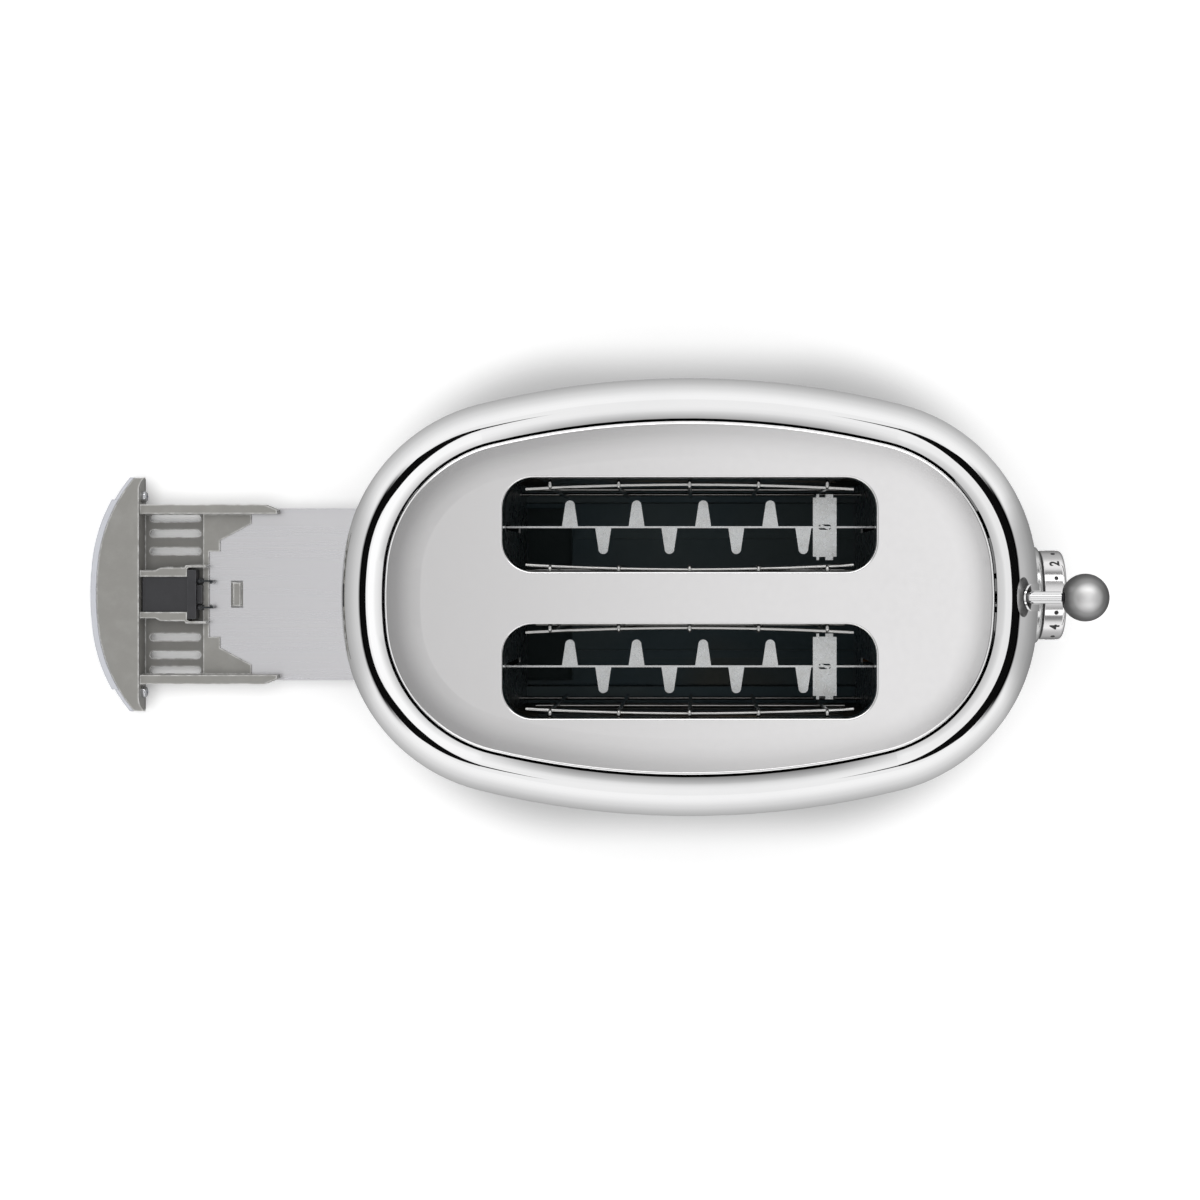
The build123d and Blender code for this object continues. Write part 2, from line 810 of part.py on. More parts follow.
# Guide rod between two brackets on the lever bulkhead
with BuildPart() as guide_rod:
    with BuildSketch(Plane.XY.offset(rod_low)):
        with Locations((rod_place, 0)):
            Circle(rod_radius)
    extrude(amount=spring_top + bracket_thick - rod_low)
save(guide_rod, "guide_rod")

with BuildPart() as rod_brackets:
    shelf_long = rod_place + 2 * rod_radius - box_half - sheet
    for low, reach in ((rod_low, rod_reach), (spring_top, spring_reach)):
        with BuildSketch(Plane.XY.offset(low)):
            with Locations((box_half + sheet + shelf_long / 2, (reach - rod_reach) / 2)):
                Rectangle(shelf_long, reach + rod_reach)
            with Locations((rod_place, 0)):
                Circle(rod_radius, mode=Mode.SUBTRACT)
        extrude(amount=bracket_thick)
        with BuildSketch(Plane.YZ.offset(box_half + sheet)):
            with Locations(((reach - rod_reach) / 2, low - rod_lug / 2)):
                Rectangle(reach + rod_reach, rod_lug)
        extrude(amount=bracket_thick)
save(rod_brackets, "rod_brackets")

# Return spring of the carriage, a close coil that stretches as the lever goes down
with BuildPart() as return_spring:
    with BuildLine():
        coil_low = bracket_high + spring_wire + 2 * fit_gap
        coil_high = spring_top - spring_wire - 2 * fit_gap
        coil = Helix(spring_pitch, coil_high - coil_low, spring_radius, center=(*spring_spot, coil_low))
    with BuildSketch(Plane(origin=coil @ 0, z_dir=coil % 0)):
        Circle(spring_wire)
    sweep(is_frenet=True)
save(return_spring, "return_spring")

with BuildPart() as electromagnet:
    with BuildSketch(Plane.XY.offset(magnet_low)):
        with Locations(magnet_spot):
            Rectangle(*magnet_size[:2])
    extrude(amount=magnet_size[2])
    with BuildSketch(Plane.XY.offset(magnet_low + magnet_size[2])):
        with Locations(keeper_spot):
            with GridLocations(1, pole_pitch, 1, 2):
                Rectangle(*pole_size[:2])
    extrude(amount=pole_size[2])
save(electromagnet, "electromagnet")

with BuildPart() as terminal_block:
    with BuildSketch(Plane.XY.offset(terminal_low)):
        with Locations(terminal_spot):
            Rectangle(*terminal_size[:2])
    extrude(amount=terminal_size[2])
    with BuildSketch(Plane.XY.offset(terminal_low + terminal_size[2] - terminal_deep)):
        with Locations((terminal_spot[0] + terminal_hole, terminal_spot[1])):
            with GridLocations(1, terminal_pitch, 1, 3):
                Circle(terminal_hole)
    extrude(amount=terminal_deep, mode=Mode.SUBTRACT)
save(terminal_block, "terminal_block")

# Control board behind the dial, on four standoffs
with BuildPart() as control_board:
    with BuildSketch(Plane.YZ.offset(board_face)):
        with Locations((0, dial_level)):
            Rectangle(board_wide, board_tall)
        with Locations(*board_posts):
            Circle(post_bore, mode=Mode.SUBTRACT)
    extrude(amount=board_thick)
    with BuildSketch(Plane.YZ.offset(board_face - part_tall)):
        with Locations(relay_spot):
            Rectangle(*relay_size)
        with Locations(buzzer_spot):
            Circle(buzzer_radius)
    extrude(amount=part_tall)
save(control_board, "control_board")

with BuildPart() as board_standoffs:
    with BuildSketch(Plane.YZ.offset(box_half + sheet)):
        with Locations(*board_posts):
            Circle(post_radius)
    extrude(amount=board_face - box_half - sheet)
save(board_standoffs, "board_standoffs")

with BuildPart() as dial_potentiometer:
    pot_end = board_face + board_thick + pot_deep
    with BuildSketch(Plane.YZ.offset(board_face + board_thick)):
        with Locations((0, dial_level)):
            Circle(pot_radius)
    extrude(amount=pot_deep)
    with BuildSketch(Plane.YZ.offset(pot_end)):
        with Locations((0, dial_level)):
            Circle(pot_neck)
    extrude(amount=pot_neck_long)
    with BuildSketch(Plane.YZ.offset(board_face + shaft_start - 3 * fit_gap)):
        with Locations((0, dial_level)):
            Circle(shaft_radius + fit_gap / 2)
    extrude(amount=pot_deep + pot_neck_long + cut_over, mode=Mode.SUBTRACT)
save(dial_potentiometer, "dial_potentiometer")

# Dial ring: a stepped bezel in the end wall, with a hole for the shaft
with BuildPart() as control_ring:
    ring_plane = Plane(origin=(ring_start, 0, dial_level), x_dir=(0, 1, 0), z_dir=(1, 0, 0))
    for radius, deep in ((ring_radius + ring_flange, ring_flange / 2), (ring_radius, ring_end - ring_start)):
        with BuildSketch(ring_plane):
            Circle(radius)
        extrude(amount=deep)
    fillet(control_ring.edges().sort_by(Axis.X)[-1], ring_edge)
    hollow_deep = ring_end - ring_start - ring_wall
    for radius, deep in ((ring_radius - ring_wall, hollow_deep), (hub_radius, end_run)):
        with BuildSketch(ring_plane):
            Circle(radius)
        extrude(amount=deep, mode=Mode.SUBTRACT)
save(control_ring, "control_ring")

# Dial knob: a hollow cap on a hub, with a shallow dish in its face
with BuildPart() as dial_knob:
    with BuildSketch(Plane.YZ.offset(dial_start)):
        with Locations((0, dial_level)):
            Circle(dial_radius)
    extrude(amount=dial_end - dial_start)
    fillet(dial_knob.edges().sort_by(Axis.X)[-1], dial_edge)
    fillet(dial_knob.edges().sort_by(Axis.X)[0], dial_edge / 5)
    with BuildSketch(Plane.YZ.offset(dial_start)):
        with Locations((0, dial_level)):
            Circle(dial_radius - dial_wall)
            Circle(hub_radius, mode=Mode.SUBTRACT)
    extrude(amount=dial_hollow, mode=Mode.SUBTRACT)
    with BuildSketch(Plane.YZ.offset(dial_start)):
        with Locations((0, dial_level)):
            Circle(shaft_radius)
    extrude(amount=shaft_grip, mode=Mode.SUBTRACT)
    with BuildSketch(Plane.YZ.offset(dial_end - dish_deep)):
        with Locations((0, dial_level)):
            Circle(dial_radius - dish_rim)
    extrude(amount=2 * dish_deep, mode=Mode.SUBTRACT, taper=-30)
save(dial_knob, "dial_knob")

with BuildPart() as dial_shaft:
    with BuildSketch(Plane.YZ.offset(board_face + shaft_start)):
        with Locations((0, dial_level)):
            Circle(shaft_radius)
    extrude(amount=dial_start + shaft_grip - board_face - shaft_start)
save(dial_shaft, "dial_shaft")

# Lever slot trim: a thin collar on the wall and a plug through it
trim_middle = (trim_low + trim_high) / 2
trim_long = trim_high - trim_low


def trim_layer(outside, inside, long, wide):
    with BuildPart() as layer:
        add(oval_ring([end_arc], lambda radius: draw_wall(radius, outside, inside, trim_low - cut_over)))
        with BuildSketch(Plane.YZ.offset(end_start)):
            with Locations((0, trim_middle)):
                SlotOverall(long, wide, rotation=90)
        extrude(amount=end_run, mode=Mode.INTERSECT)
    return layer.part


with BuildPart() as lever_slot_trim:
    add(trim_layer(-trim_proud, 0, trim_long, trim_wide))
    add(trim_layer(-trim_proud / 2, 2 * skin, trim_long - 2 * trim_lap, trim_plug))
    with BuildSketch(Plane.YZ.offset(end_start)):
        with Locations((0, trim_middle)):
            SlotOverall(trim_long - (trim_wide - trim_slot), trim_slot, rotation=90)
    extrude(amount=end_run, mode=Mode.SUBTRACT)
save(lever_slot_trim, "lever_slot_trim")


def bread_guide(slot_side, side):
    """Wire cage beside the bread: a pivot wire, a middle wire, a bowed top wire and five hooked uprights."""
    line_y = slot_side * slot_place + side * guide_offsets[slot_side, side]
    upright_y = line_y - side * guide_hook
    with BuildPart() as guide:
        for level, half_long in ((guide_pivot, box_half + 2.0), (guide_middle, guide_half)):
            with BuildSketch(Plane.YZ.offset(-half_long)):
                with Locations((line_y, level)):
                    Circle(wire_radius)
            extrude(amount=2 * half_long)
        with BuildLine():
            bow = ThreePointArc(
                (-guide_half, line_y - side * guide_bow, guide_top),
                (0, line_y, guide_top),
                (guide_half, line_y - side * guide_bow, guide_top),
            )
        with BuildSketch(Plane(origin=bow @ 0, z_dir=bow % 0)):
            Circle(wire_radius)
        sweep()
        for place in guide_wires:
            with BuildSketch(Plane.XY.offset(guide_pivot)):
                with Locations((place, upright_y)):
                    Circle(wire_radius)
            extrude(amount=guide_top - guide_pivot)
            with BuildSketch(Plane.XY.offset(guide_top)):
                with Locations((place, upright_y)):
                    Circle(wire_radius)
            revolve(axis=Axis((place, line_y, guide_top), (-side, 0, 0)), revolution_arc=180)
    return guide


save(bread_guide(1, 1), "bread_guide_left_outer")
save(bread_guide(1, -1), "bread_guide_left_inner")
save(bread_guide(-1, 1), "bread_guide_right_inner")
save(bread_guide(-1, -1), "bread_guide_right_outer")

# Buttons, each with a bezel in the wall and a switch behind it
button_names = ("button_left_lower", "button_left_upper", "button_right_lower", "button_right_upper")
for name, spot in zip(button_names, buttons):
    with BuildPart() as button:
        with BuildSketch(spot.offset(-button_deep)):
            Circle(button_radius)
        extrude(amount=button_deep + button_proud)
        fillet(button.edges().sort_by(Axis(spot.origin, spot.z_dir))[-1], button_edge)
    save(button, name)

with BuildPart() as button_bezels:
    for spot in buttons:
        with BuildSketch(spot.offset(-bezel_deep)):
            Circle(bezel_radius)
            Circle(button_radius + fit_gap, mode=Mode.SUBTRACT)
        extrude(amount=bezel_deep + bezel_proud)
        with BuildSketch(spot.offset(-bezel_deep + switch_deep)):
            Circle(bezel_radius + bezel_flange)
            Circle(bezel_radius, mode=Mode.SUBTRACT)
        extrude(amount=bezel_proud)
save(button_bezels, "button_bezels")

with BuildPart() as button_switches:
    for spot in buttons:
        with BuildSketch(spot.offset(-bezel_deep - switch_deep)):
            Rectangle(switch_size, switch_size)
        extrude(amount=switch_deep)
save(button_switches, "button_switches")

# Crumb tray front: the moulded part with its arms, floor, vents and latch housing
with BuildPart() as tray_front:
    with BuildSketch(pulled.offset(front_low)):
        with BuildLine():
            draw_oval(body, band_inset + fascia_deep)
        make_face()
        with Locations((front_back - mouth_run / 2, 0)):
            Rectangle(mouth_run, 2 * front_half, mode=Mode.INTERSECT)
    extrude(amount=front_top - front_low)
    # lips that curve back from the ends of the upper edge
    with BuildSketch(pulled.offset(front_top - lip_deep)):
        for side in (1, -1):
            with BuildLine():
                Polyline(
                    (front_back, side * lip_start),
                    (front_back - lip_thick, side * lip_start),
                    (front_back - lip_thick, side * front_half),
                    (lip_back, side * front_half),
                )
                ThreePointArc(
                    (lip_back, side * front_half),
                    (front_back + lip_turn[0], side * (lip_start + lip_turn[1])),
                    (front_back, side * lip_start),
                )
            make_face()
    extrude(amount=lip_deep)
    # floor
    with BuildSketch(pulled.offset(floor_low)):
        with Locations(((front_back + shelf_start) / 2, 0)):
            Rectangle(shelf_start - front_back, 2 * arm_outer)
        for side in (1, -1):
            for row in vent_rows:
                with Locations((vent_centre, side * row)):
                    SlotOverall(vent_long, vent_wide, mode=Mode.SUBTRACT)
    extrude(amount=floor_top - floor_low)
    # shelf over the steel plate, stepped back towards the latch
    with BuildSketch(pulled.offset(floor_low)):
        for side in (1, -1):
            with BuildLine():
                Polyline(
                    (shelf_start, 0),
                    (shelf_middle, 0),
                    (shelf_middle, side * shelf_sides[0]),
                    (shelf_step, side * shelf_sides[0]),
                    (shelf_step, side * shelf_sides[1]),
                    (shelf_end, side * shelf_sides[2]),
                    (shelf_end, side * (arm_inner + 1)),
                    (shelf_start, side * (arm_inner + 1)),
                    close=True,
                )
            make_face()
    extrude(amount=shelf_top - floor_low)
    # side arms with pointed ends
    with BuildSketch(pulled.offset(floor_low)):
        for side in (1, -1):
            with BuildLine():
                Polyline(
                    (front_back, side * arm_inner),
                    (arm_tip, side * arm_inner),
                    (arm_tip, side * (arm_inner + arm_tip_wide)),
                    (arm_tip - arm_tip_long, side * arm_outer),
                    (front_back, side * arm_outer),
                    close=True,
                )
            make_face()
    extrude(amount=arm_top - floor_low)
    # walls of the latch housing
    latch_side = latch_half + 2 * fit_gap
    throat_side, waist_side, mouth_side = housing_sides
    with BuildSketch(pulled.offset(floor_low)):
        for side in (1, -1):
            with BuildLine():
                Polyline(
                    (front_back, side * latch_side),
                    (latch_end - 0.4, side * latch_side),
                    (latch_end - 0.4, side * (latch_flange_half + 0.5)),
                    (latch_end + 0.6, side * (mouth_side - housing_wall)),
                    (shelf_middle, side * (mouth_side - housing_wall)),
                    (shelf_middle, side * mouth_side),
                    (housing_corner, side * mouth_side),
                    (housing_flare[0], side * waist_side),
                    (housing_flare[1], side * waist_side),
                    (housing_flare[2], side * throat_side),
                    (front_back, side * throat_side),
                    close=True,
                )
            make_face()
    extrude(amount=arm_top - floor_low)
    # slot that takes the steel plate's front edge
    with BuildSketch(pulled.offset(plate_low - fit_gap)):
        with Locations((plate_start - fit_gap + mouth_run / 2, 0)):
            Rectangle(mouth_run, 2 * plate_half + 2 * fit_gap)
    extrude(amount=plate_top - plate_low + 2 * fit_gap, mode=Mode.SUBTRACT)
    # tongue under the plate with a catch that shows through its hole
    with BuildSketch(pulled.offset(floor_low)):
        with Locations((tongue_centre, 0)):
            Rectangle(*tongue_size)
    extrude(amount=plate_low - fit_gap - floor_low)
    with BuildSketch(pulled.offset(plate_low - fit_gap)):
        with Locations((plate_hole, 0)):
            Rectangle(*catch_size[:2])
    extrude(amount=catch_size[2])
    # holes for the two screws
    with BuildSketch(Plane.YZ.offset(front_back - tray_screw_long - 0.5 - tray_pull)):
        with Locations(*tray_screw_spots):
            Circle(tray_screw_radius)
    extrude(amount=tray_screw_long + 1.5, mode=Mode.SUBTRACT)
save(tray_front, "tray_front")

# Tray fascia: a bright strip that follows the body's end, with thinner ends
with BuildPart() as tray_fascia:
    for outside, half, proud in ((0.0, fascia_half, 0.7), (fascia_step, front_half, 0.3)):
        with BuildSketch(pulled.offset(front_low)):
            with BuildLine():
                draw_oval(body, band_inset + outside)
            make_face()
            with BuildLine():
                draw_oval(body, band_inset + fascia_deep)
            make_face(mode=Mode.SUBTRACT)
            with Locations((front_back - mouth_run / 3, 0)):
                Rectangle(mouth_run, 2 * half, mode=Mode.INTERSECT)
        extrude(amount=front_top + proud - front_low)
    add(tray_front.part, mode=Mode.SUBTRACT)
save(tray_fascia, "tray_fascia")

# Steel crumb plate with turned-up edges
with BuildPart() as tray_plate:
    with BuildSketch(pulled.offset(plate_low)):
        with Locations(((plate_start + plate_end) / 2, 0)):
            Rectangle(plate_end - plate_start, 2 * plate_half)
        with Locations((plate_hole, 0)):
            Rectangle(*plate_hole_size, mode=Mode.SUBTRACT)
    extrude(amount=plate_top - plate_low)
    plate_thick = plate_top - plate_low
    rim_start = arm_tip + 4 * fit_gap
    with BuildSketch(pulled.offset(plate_top)):
        for side in (1, -1):
            with Locations(((rim_start + plate_end) / 2, side * (plate_half - plate_thick / 2))):
                Rectangle(plate_end - rim_start, plate_thick)
        with Locations((plate_end - plate_thick / 2, 0)):
            Rectangle(plate_thick, 2 * plate_half)
    extrude(amount=plate_rim)
save(tray_plate, "tray_plate")

# Two screws with cross recesses behind the tray front
with BuildPart() as tray_screws:
    with BuildSketch(Plane.YZ.offset(front_back - tray_pull)):
        with Locations(*tray_screw_spots):
            Circle(tray_screw_head)
    extrude(amount=tray_screw_tall)
    fillet(tray_screws.edges().group_by(Axis.X)[-1], tray_screw_edge)
    with BuildSketch(Plane.YZ.offset(front_back - tray_pull + tray_screw_tall - tray_cross_deep)):
        with Locations(*tray_screw_spots):
            Rectangle(tray_cross_long, cross_wide)
            Rectangle(cross_wide, tray_cross_long)
    extrude(amount=2 * tray_cross_deep, mode=Mode.SUBTRACT)
    with BuildSketch(Plane.YZ.offset(front_back - tray_pull - tray_screw_long)):
        with Locations(*tray_screw_spots):
            Circle(tray_screw_radius)
    extrude(amount=tray_screw_long)
save(tray_screws, "tray_screws")

# Latch body with its flange, a guide bore for the plunger, and ears with pins for the claws
with BuildPart() as latch_body:
    latch_start = front_back + 1.0
    flange_end = latch_end + latch_flange_thick
    with BuildSketch(pulled.offset(floor_top)):
        with Locations(((latch_start + latch_end) / 2, 0)):
            Rectangle(latch_end - latch_start, 2 * latch_half)
    extrude(amount=latch_tall)
    with BuildSketch(pulled.offset(latch_flange_low)):
        with Locations(((latch_end + flange_end) / 2, 0)):
            Rectangle(latch_flange_thick, 2 * latch_flange_half)
    extrude(amount=latch_flange_tall)
    with BuildSketch(Plane.YZ.offset(bore_start - tray_pull)):
        with Locations((0, plunger_level)):
            Rectangle(plunger_size[0] + 2 * fit_gap, plunger_size[1] + 2 * fit_gap)
    extrude(amount=flange_end - bore_start + cut_over, mode=Mode.SUBTRACT)
    with BuildSketch(pulled.offset(latch_flange_low)):
        for side in (1, -1):
            with Locations((flange_end + pin_ear[0] / 2 - 4 * fit_gap, side * claw_side)):
                Rectangle(*pin_ear[:2])
    extrude(amount=pin_ear[2])
    with BuildSketch(pulled.offset(latch_flange_low + pin_ear[2])):
        for side in (1, -1):
            with Locations((claw_pivot, side * claw_side)):
                Circle(pin_radius)
    extrude(amount=pin_tall)
save(latch_body, "latch_body")

with BuildPart() as latch_plunger:
    with BuildSketch(Plane.YZ.offset(plunger_start - tray_pull)):
        with Locations((0, plunger_level)):
            Rectangle(*plunger_size)
    extrude(amount=plunger_long)
save(latch_plunger, "latch_plunger")


def latch_claw(side):
    """Thin hooked claw that turns about its pin."""
    line_y = side * claw_side
    with BuildPart() as claw:
        with BuildSketch(pulled.offset(claw_low)):
            with Locations(((claw_pivot + claw_end) / 2, line_y)):
                Rectangle(claw_end - claw_pivot, claw_thick)
            with Locations((claw_pivot, line_y)):
                Circle(claw_eye)
            with BuildLine():
                Polyline(
                    (claw_end, line_y + side * claw_thick / 2),
                    (claw_end, line_y - side * claw_thick / 2),
                    (claw_end - hook_back[0], line_y - side * hook_side),
                    (claw_end - hook_back[1], line_y + side * claw_thick / 2),
                    close=True,
                )
            make_face()
            with Locations((claw_pivot, line_y)):
                Circle(pin_radius + fit_gap / 2, mode=Mode.SUBTRACT)
        extrude(amount=claw_tall)
    return claw


save(latch_claw(1), "latch_claw_left")
save(latch_claw(-1), "latch_claw_right")

# Striker: a tongue under the tray-end bulkhead that the claws close on when the tray is in
with BuildPart() as tray_striker:
    wall_face = -box_half - sheet
    with BuildSketch(Plane.XZ.offset(-striker_wide / 2)):
        with BuildLine():
            Polyline(
                (striker_tip, striker_low),
                (striker_tip + striker_thick, striker_low),
                (striker_tip + striker_thick, striker_shelf - striker_thick),
                (wall_face, striker_shelf - striker_thick),
                (wall_face, striker_high),
                (wall_face - striker_thick, striker_high),
                (wall_face - striker_thick, striker_shelf),
                (striker_tip, striker_shelf),
                close=True,
            )
        make_face()
    extrude(amount=striker_wide)
save(tray_striker, "tray_striker")
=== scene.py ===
import math

import bmesh
import bpy
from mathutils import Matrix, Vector


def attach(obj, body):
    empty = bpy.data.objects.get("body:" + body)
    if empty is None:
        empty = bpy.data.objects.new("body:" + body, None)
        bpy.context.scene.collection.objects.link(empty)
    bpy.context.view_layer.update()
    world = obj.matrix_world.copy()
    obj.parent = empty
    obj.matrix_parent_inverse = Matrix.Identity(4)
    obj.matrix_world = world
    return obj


# Toaster seen from straight above: satin top, polished shell, crumb tray pulled out at one end.
# Metres, same axes as the frame: +X is the lever end, +Y is left, +Z is up.

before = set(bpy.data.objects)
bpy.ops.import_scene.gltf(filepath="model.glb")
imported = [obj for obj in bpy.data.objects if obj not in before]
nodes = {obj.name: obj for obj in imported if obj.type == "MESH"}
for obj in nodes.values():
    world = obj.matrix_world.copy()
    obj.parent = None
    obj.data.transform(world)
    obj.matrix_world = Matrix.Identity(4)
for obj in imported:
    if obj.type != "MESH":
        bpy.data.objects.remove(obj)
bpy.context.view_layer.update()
print("frame loaded,", len(nodes), "nodes")

tiny = 0.0001  # keeps a square root away from nothing


# small helpers for objects and shader nodes

def addObject(name, data):
    made = bpy.data.objects.new(name, data)
    bpy.context.scene.collection.objects.link(made)
    return made


def addNode(tree, kind, **values):
    node = tree.nodes.new(kind)
    for name, value in values.items():
        setattr(node, name, value)
    return node


def setInput(socket, value):
    # a number, a colour, a vector or the output of another node
    if isinstance(value, bpy.types.NodeSocket):
        socket.id_data.links.new(value, socket)
    elif isinstance(value, tuple) and socket.type == "RGBA":
        socket.default_value = (*value, 1.0)
    else:
        socket.default_value = value


def mathNode(tree, operation, first, second=None, third=None, clamp=False):
    node = addNode(tree, "ShaderNodeMath", operation=operation, use_clamp=clamp)
    for socket, value in zip(node.inputs, (first, second, third)):
        if value is not None:
            setInput(socket, value)
    return node.outputs[0]


def multiplied(tree, first, *others):
    for other in others:
        first = mathNode(tree, "MULTIPLY", first, other)
    return first


def rangeNode(tree, value, low, high, start=0.0, end=1.0, smooth=True):
    steps = "SMOOTHSTEP" if smooth else "LINEAR"
    node = addNode(tree, "ShaderNodeMapRange", interpolation_type=steps)
    for socket, number in zip(node.inputs, (value, low, high, start, end)):
        setInput(socket, number)
    return node.outputs[0]


def rampNode(tree, factor, stops):
    # stops: position and grey
    node = addNode(tree, "ShaderNodeValToRGB")
    ramp = node.color_ramp
    while len(ramp.elements) < len(stops):
        ramp.elements.new(1.0)
    for element, (place, grey) in zip(ramp.elements, stops):
        element.position = place
        element.color = (grey, grey, grey, 1.0)
    setInput(node.inputs[0], factor)
    return node.outputs[0]


def mixColour(tree, factor, first, second, blend="MIX"):
    node = addNode(tree, "ShaderNodeMix", data_type="RGBA", blend_type=blend)
    for place, value in ((0, factor), (6, first), (7, second)):
        setInput(node.inputs[place], value)
    return node.outputs[2]


def mixValue(tree, factor, first, second):
    node = addNode(tree, "ShaderNodeMix", data_type="FLOAT")
    for place, value in ((0, factor), (2, first), (3, second)):
        setInput(node.inputs[place], value)
    return node.outputs[0]


def noiseNode(tree, vector, scale, detail=2.0, roughness=0.5):
    node = addNode(tree, "ShaderNodeTexNoise", noise_dimensions="3D")
    setInput(node.inputs["Vector"], vector)
    setInput(node.inputs["Scale"], scale)
    node.inputs["Detail"].default_value = detail
    node.inputs["Roughness"].default_value = roughness
    return node.outputs["Fac"]


def splitVector(tree, vector):
    node = addNode(tree, "ShaderNodeSeparateXYZ")
    setInput(node.inputs[0], vector)
    return node.outputs


def flatReach(tree, east, north):
    # how far off a point is along the floor
    northSquared = mathNode(tree, "MULTIPLY_ADD", north, north, tiny)
    return mathNode(tree, "SQRT", mathNode(
        tree, "ADD", multiplied(tree, east, east), northSquared))


# camera: straight down from close by, framed a little to one side

cameraSetup = {
    "place": (0.0044, 0.0096, 1.148),
    "lens": 68.3,
    "sensor": 36.0,
    "shift": (-100 / 1200, -25 / 1200),  # shares of the picture's width
    "clip": (0.05, 20.0),
}


def makeCamera(setup):
    data = bpy.data.cameras.new("camera")
    data.lens = setup["lens"]
    data.sensor_width = setup["sensor"]
    data.shift_x, data.shift_y = setup["shift"]
    data.clip_start, data.clip_end = setup["clip"]
    camera = addObject("camera", data)
    camera.location = setup["place"]
    bpy.context.scene.camera = camera


makeCamera(cameraSetup)
bpy.context.scene.view_settings.view_transform = "Standard"

# light: a pale room that polished metal shows, with soft boxes all round, a dark gap at the
# horizon and soft strips above the long sides, and a plain even level for everything else
# Heights are degrees above the horizon. A share of 0 is straight out from a long side and 1 is
# straight out from an end, or the other way round for the boxes and strips beside the long sides.

roomLight = {
    "plain": 0.58,  # level that matt surfaces get from all round
    "shellFill": 0.24,  # what the polished shell throws back at the floor
    "gapTops": (11.3, 7.9),  # top of the dark gap towards the lever end and towards the tray
    "gapTopTurn": (-0.95, -0.80),  # shares where the tray's top turns into the lever end's
    "gapFeet": (-1.0, -5.0),  # its foot beside the long sides and at the ends
    "gapFootTurn": (0.6, 0.85),
    "gapOpen": (0.18, 0.66),  # shares between which the gap opens from a thin tip
    "gapShut": 6.4,  # how far its top and foot are drawn together before that
    "gapEdge": 2.0,  # how fast its edges darken
    "gapLevel": 0.004,
    "heights": [  # height and level
        (-90, 0.92), (4, 0.92), (11, 1.0), (21, 1.0), (25, 0.84), (29, 0.72), (33, 0.60),
        (36, 0.36), (40, 0.27), (50, 0.27), (57, 0.36), (62, 0.46), (67, 0.58), (72, 0.67),
        (78, 0.75), (84, 0.82), (90, 0.84),
    ],
    "sideHeights": [  # the same, straight out from the long sides
        (-90, 0.92), (11, 0.94), (17, 0.87), (21, 0.72), (25, 0.46), (28, 0.30), (34, 0.24),
        (40, 0.27), (50, 0.27), (57, 0.36), (62, 0.46), (67, 0.58), (72, 0.67), (78, 0.75),
        (84, 0.82), (90, 0.84),
    ],
    "sideShift": 3.5,  # the right side's boxes stand this much lower
    "sideOpen": (0.93, 0.985),
    "tilt": 0.17,  # overhead, brighter towards the lever end
    "tiltTurn": 8.0,  # how sharply that changes over the middle
    "tiltFrom": (50.0, 66.0),
    "lowTilt": -0.11,  # low down, brighter towards the tray
    "lowTiltFrom": (11.0, 12.0),
    "lowTiltTo": (24.0, 36.0),
    "strips": (2.2, 1.1),  # strip lights over the left and right long sides
    "stripLow": 36.0,
    "stripHigh": 51.0,
    "stripSoft": 1.5,
    "stripEnds": (0.55, 0.8),
}


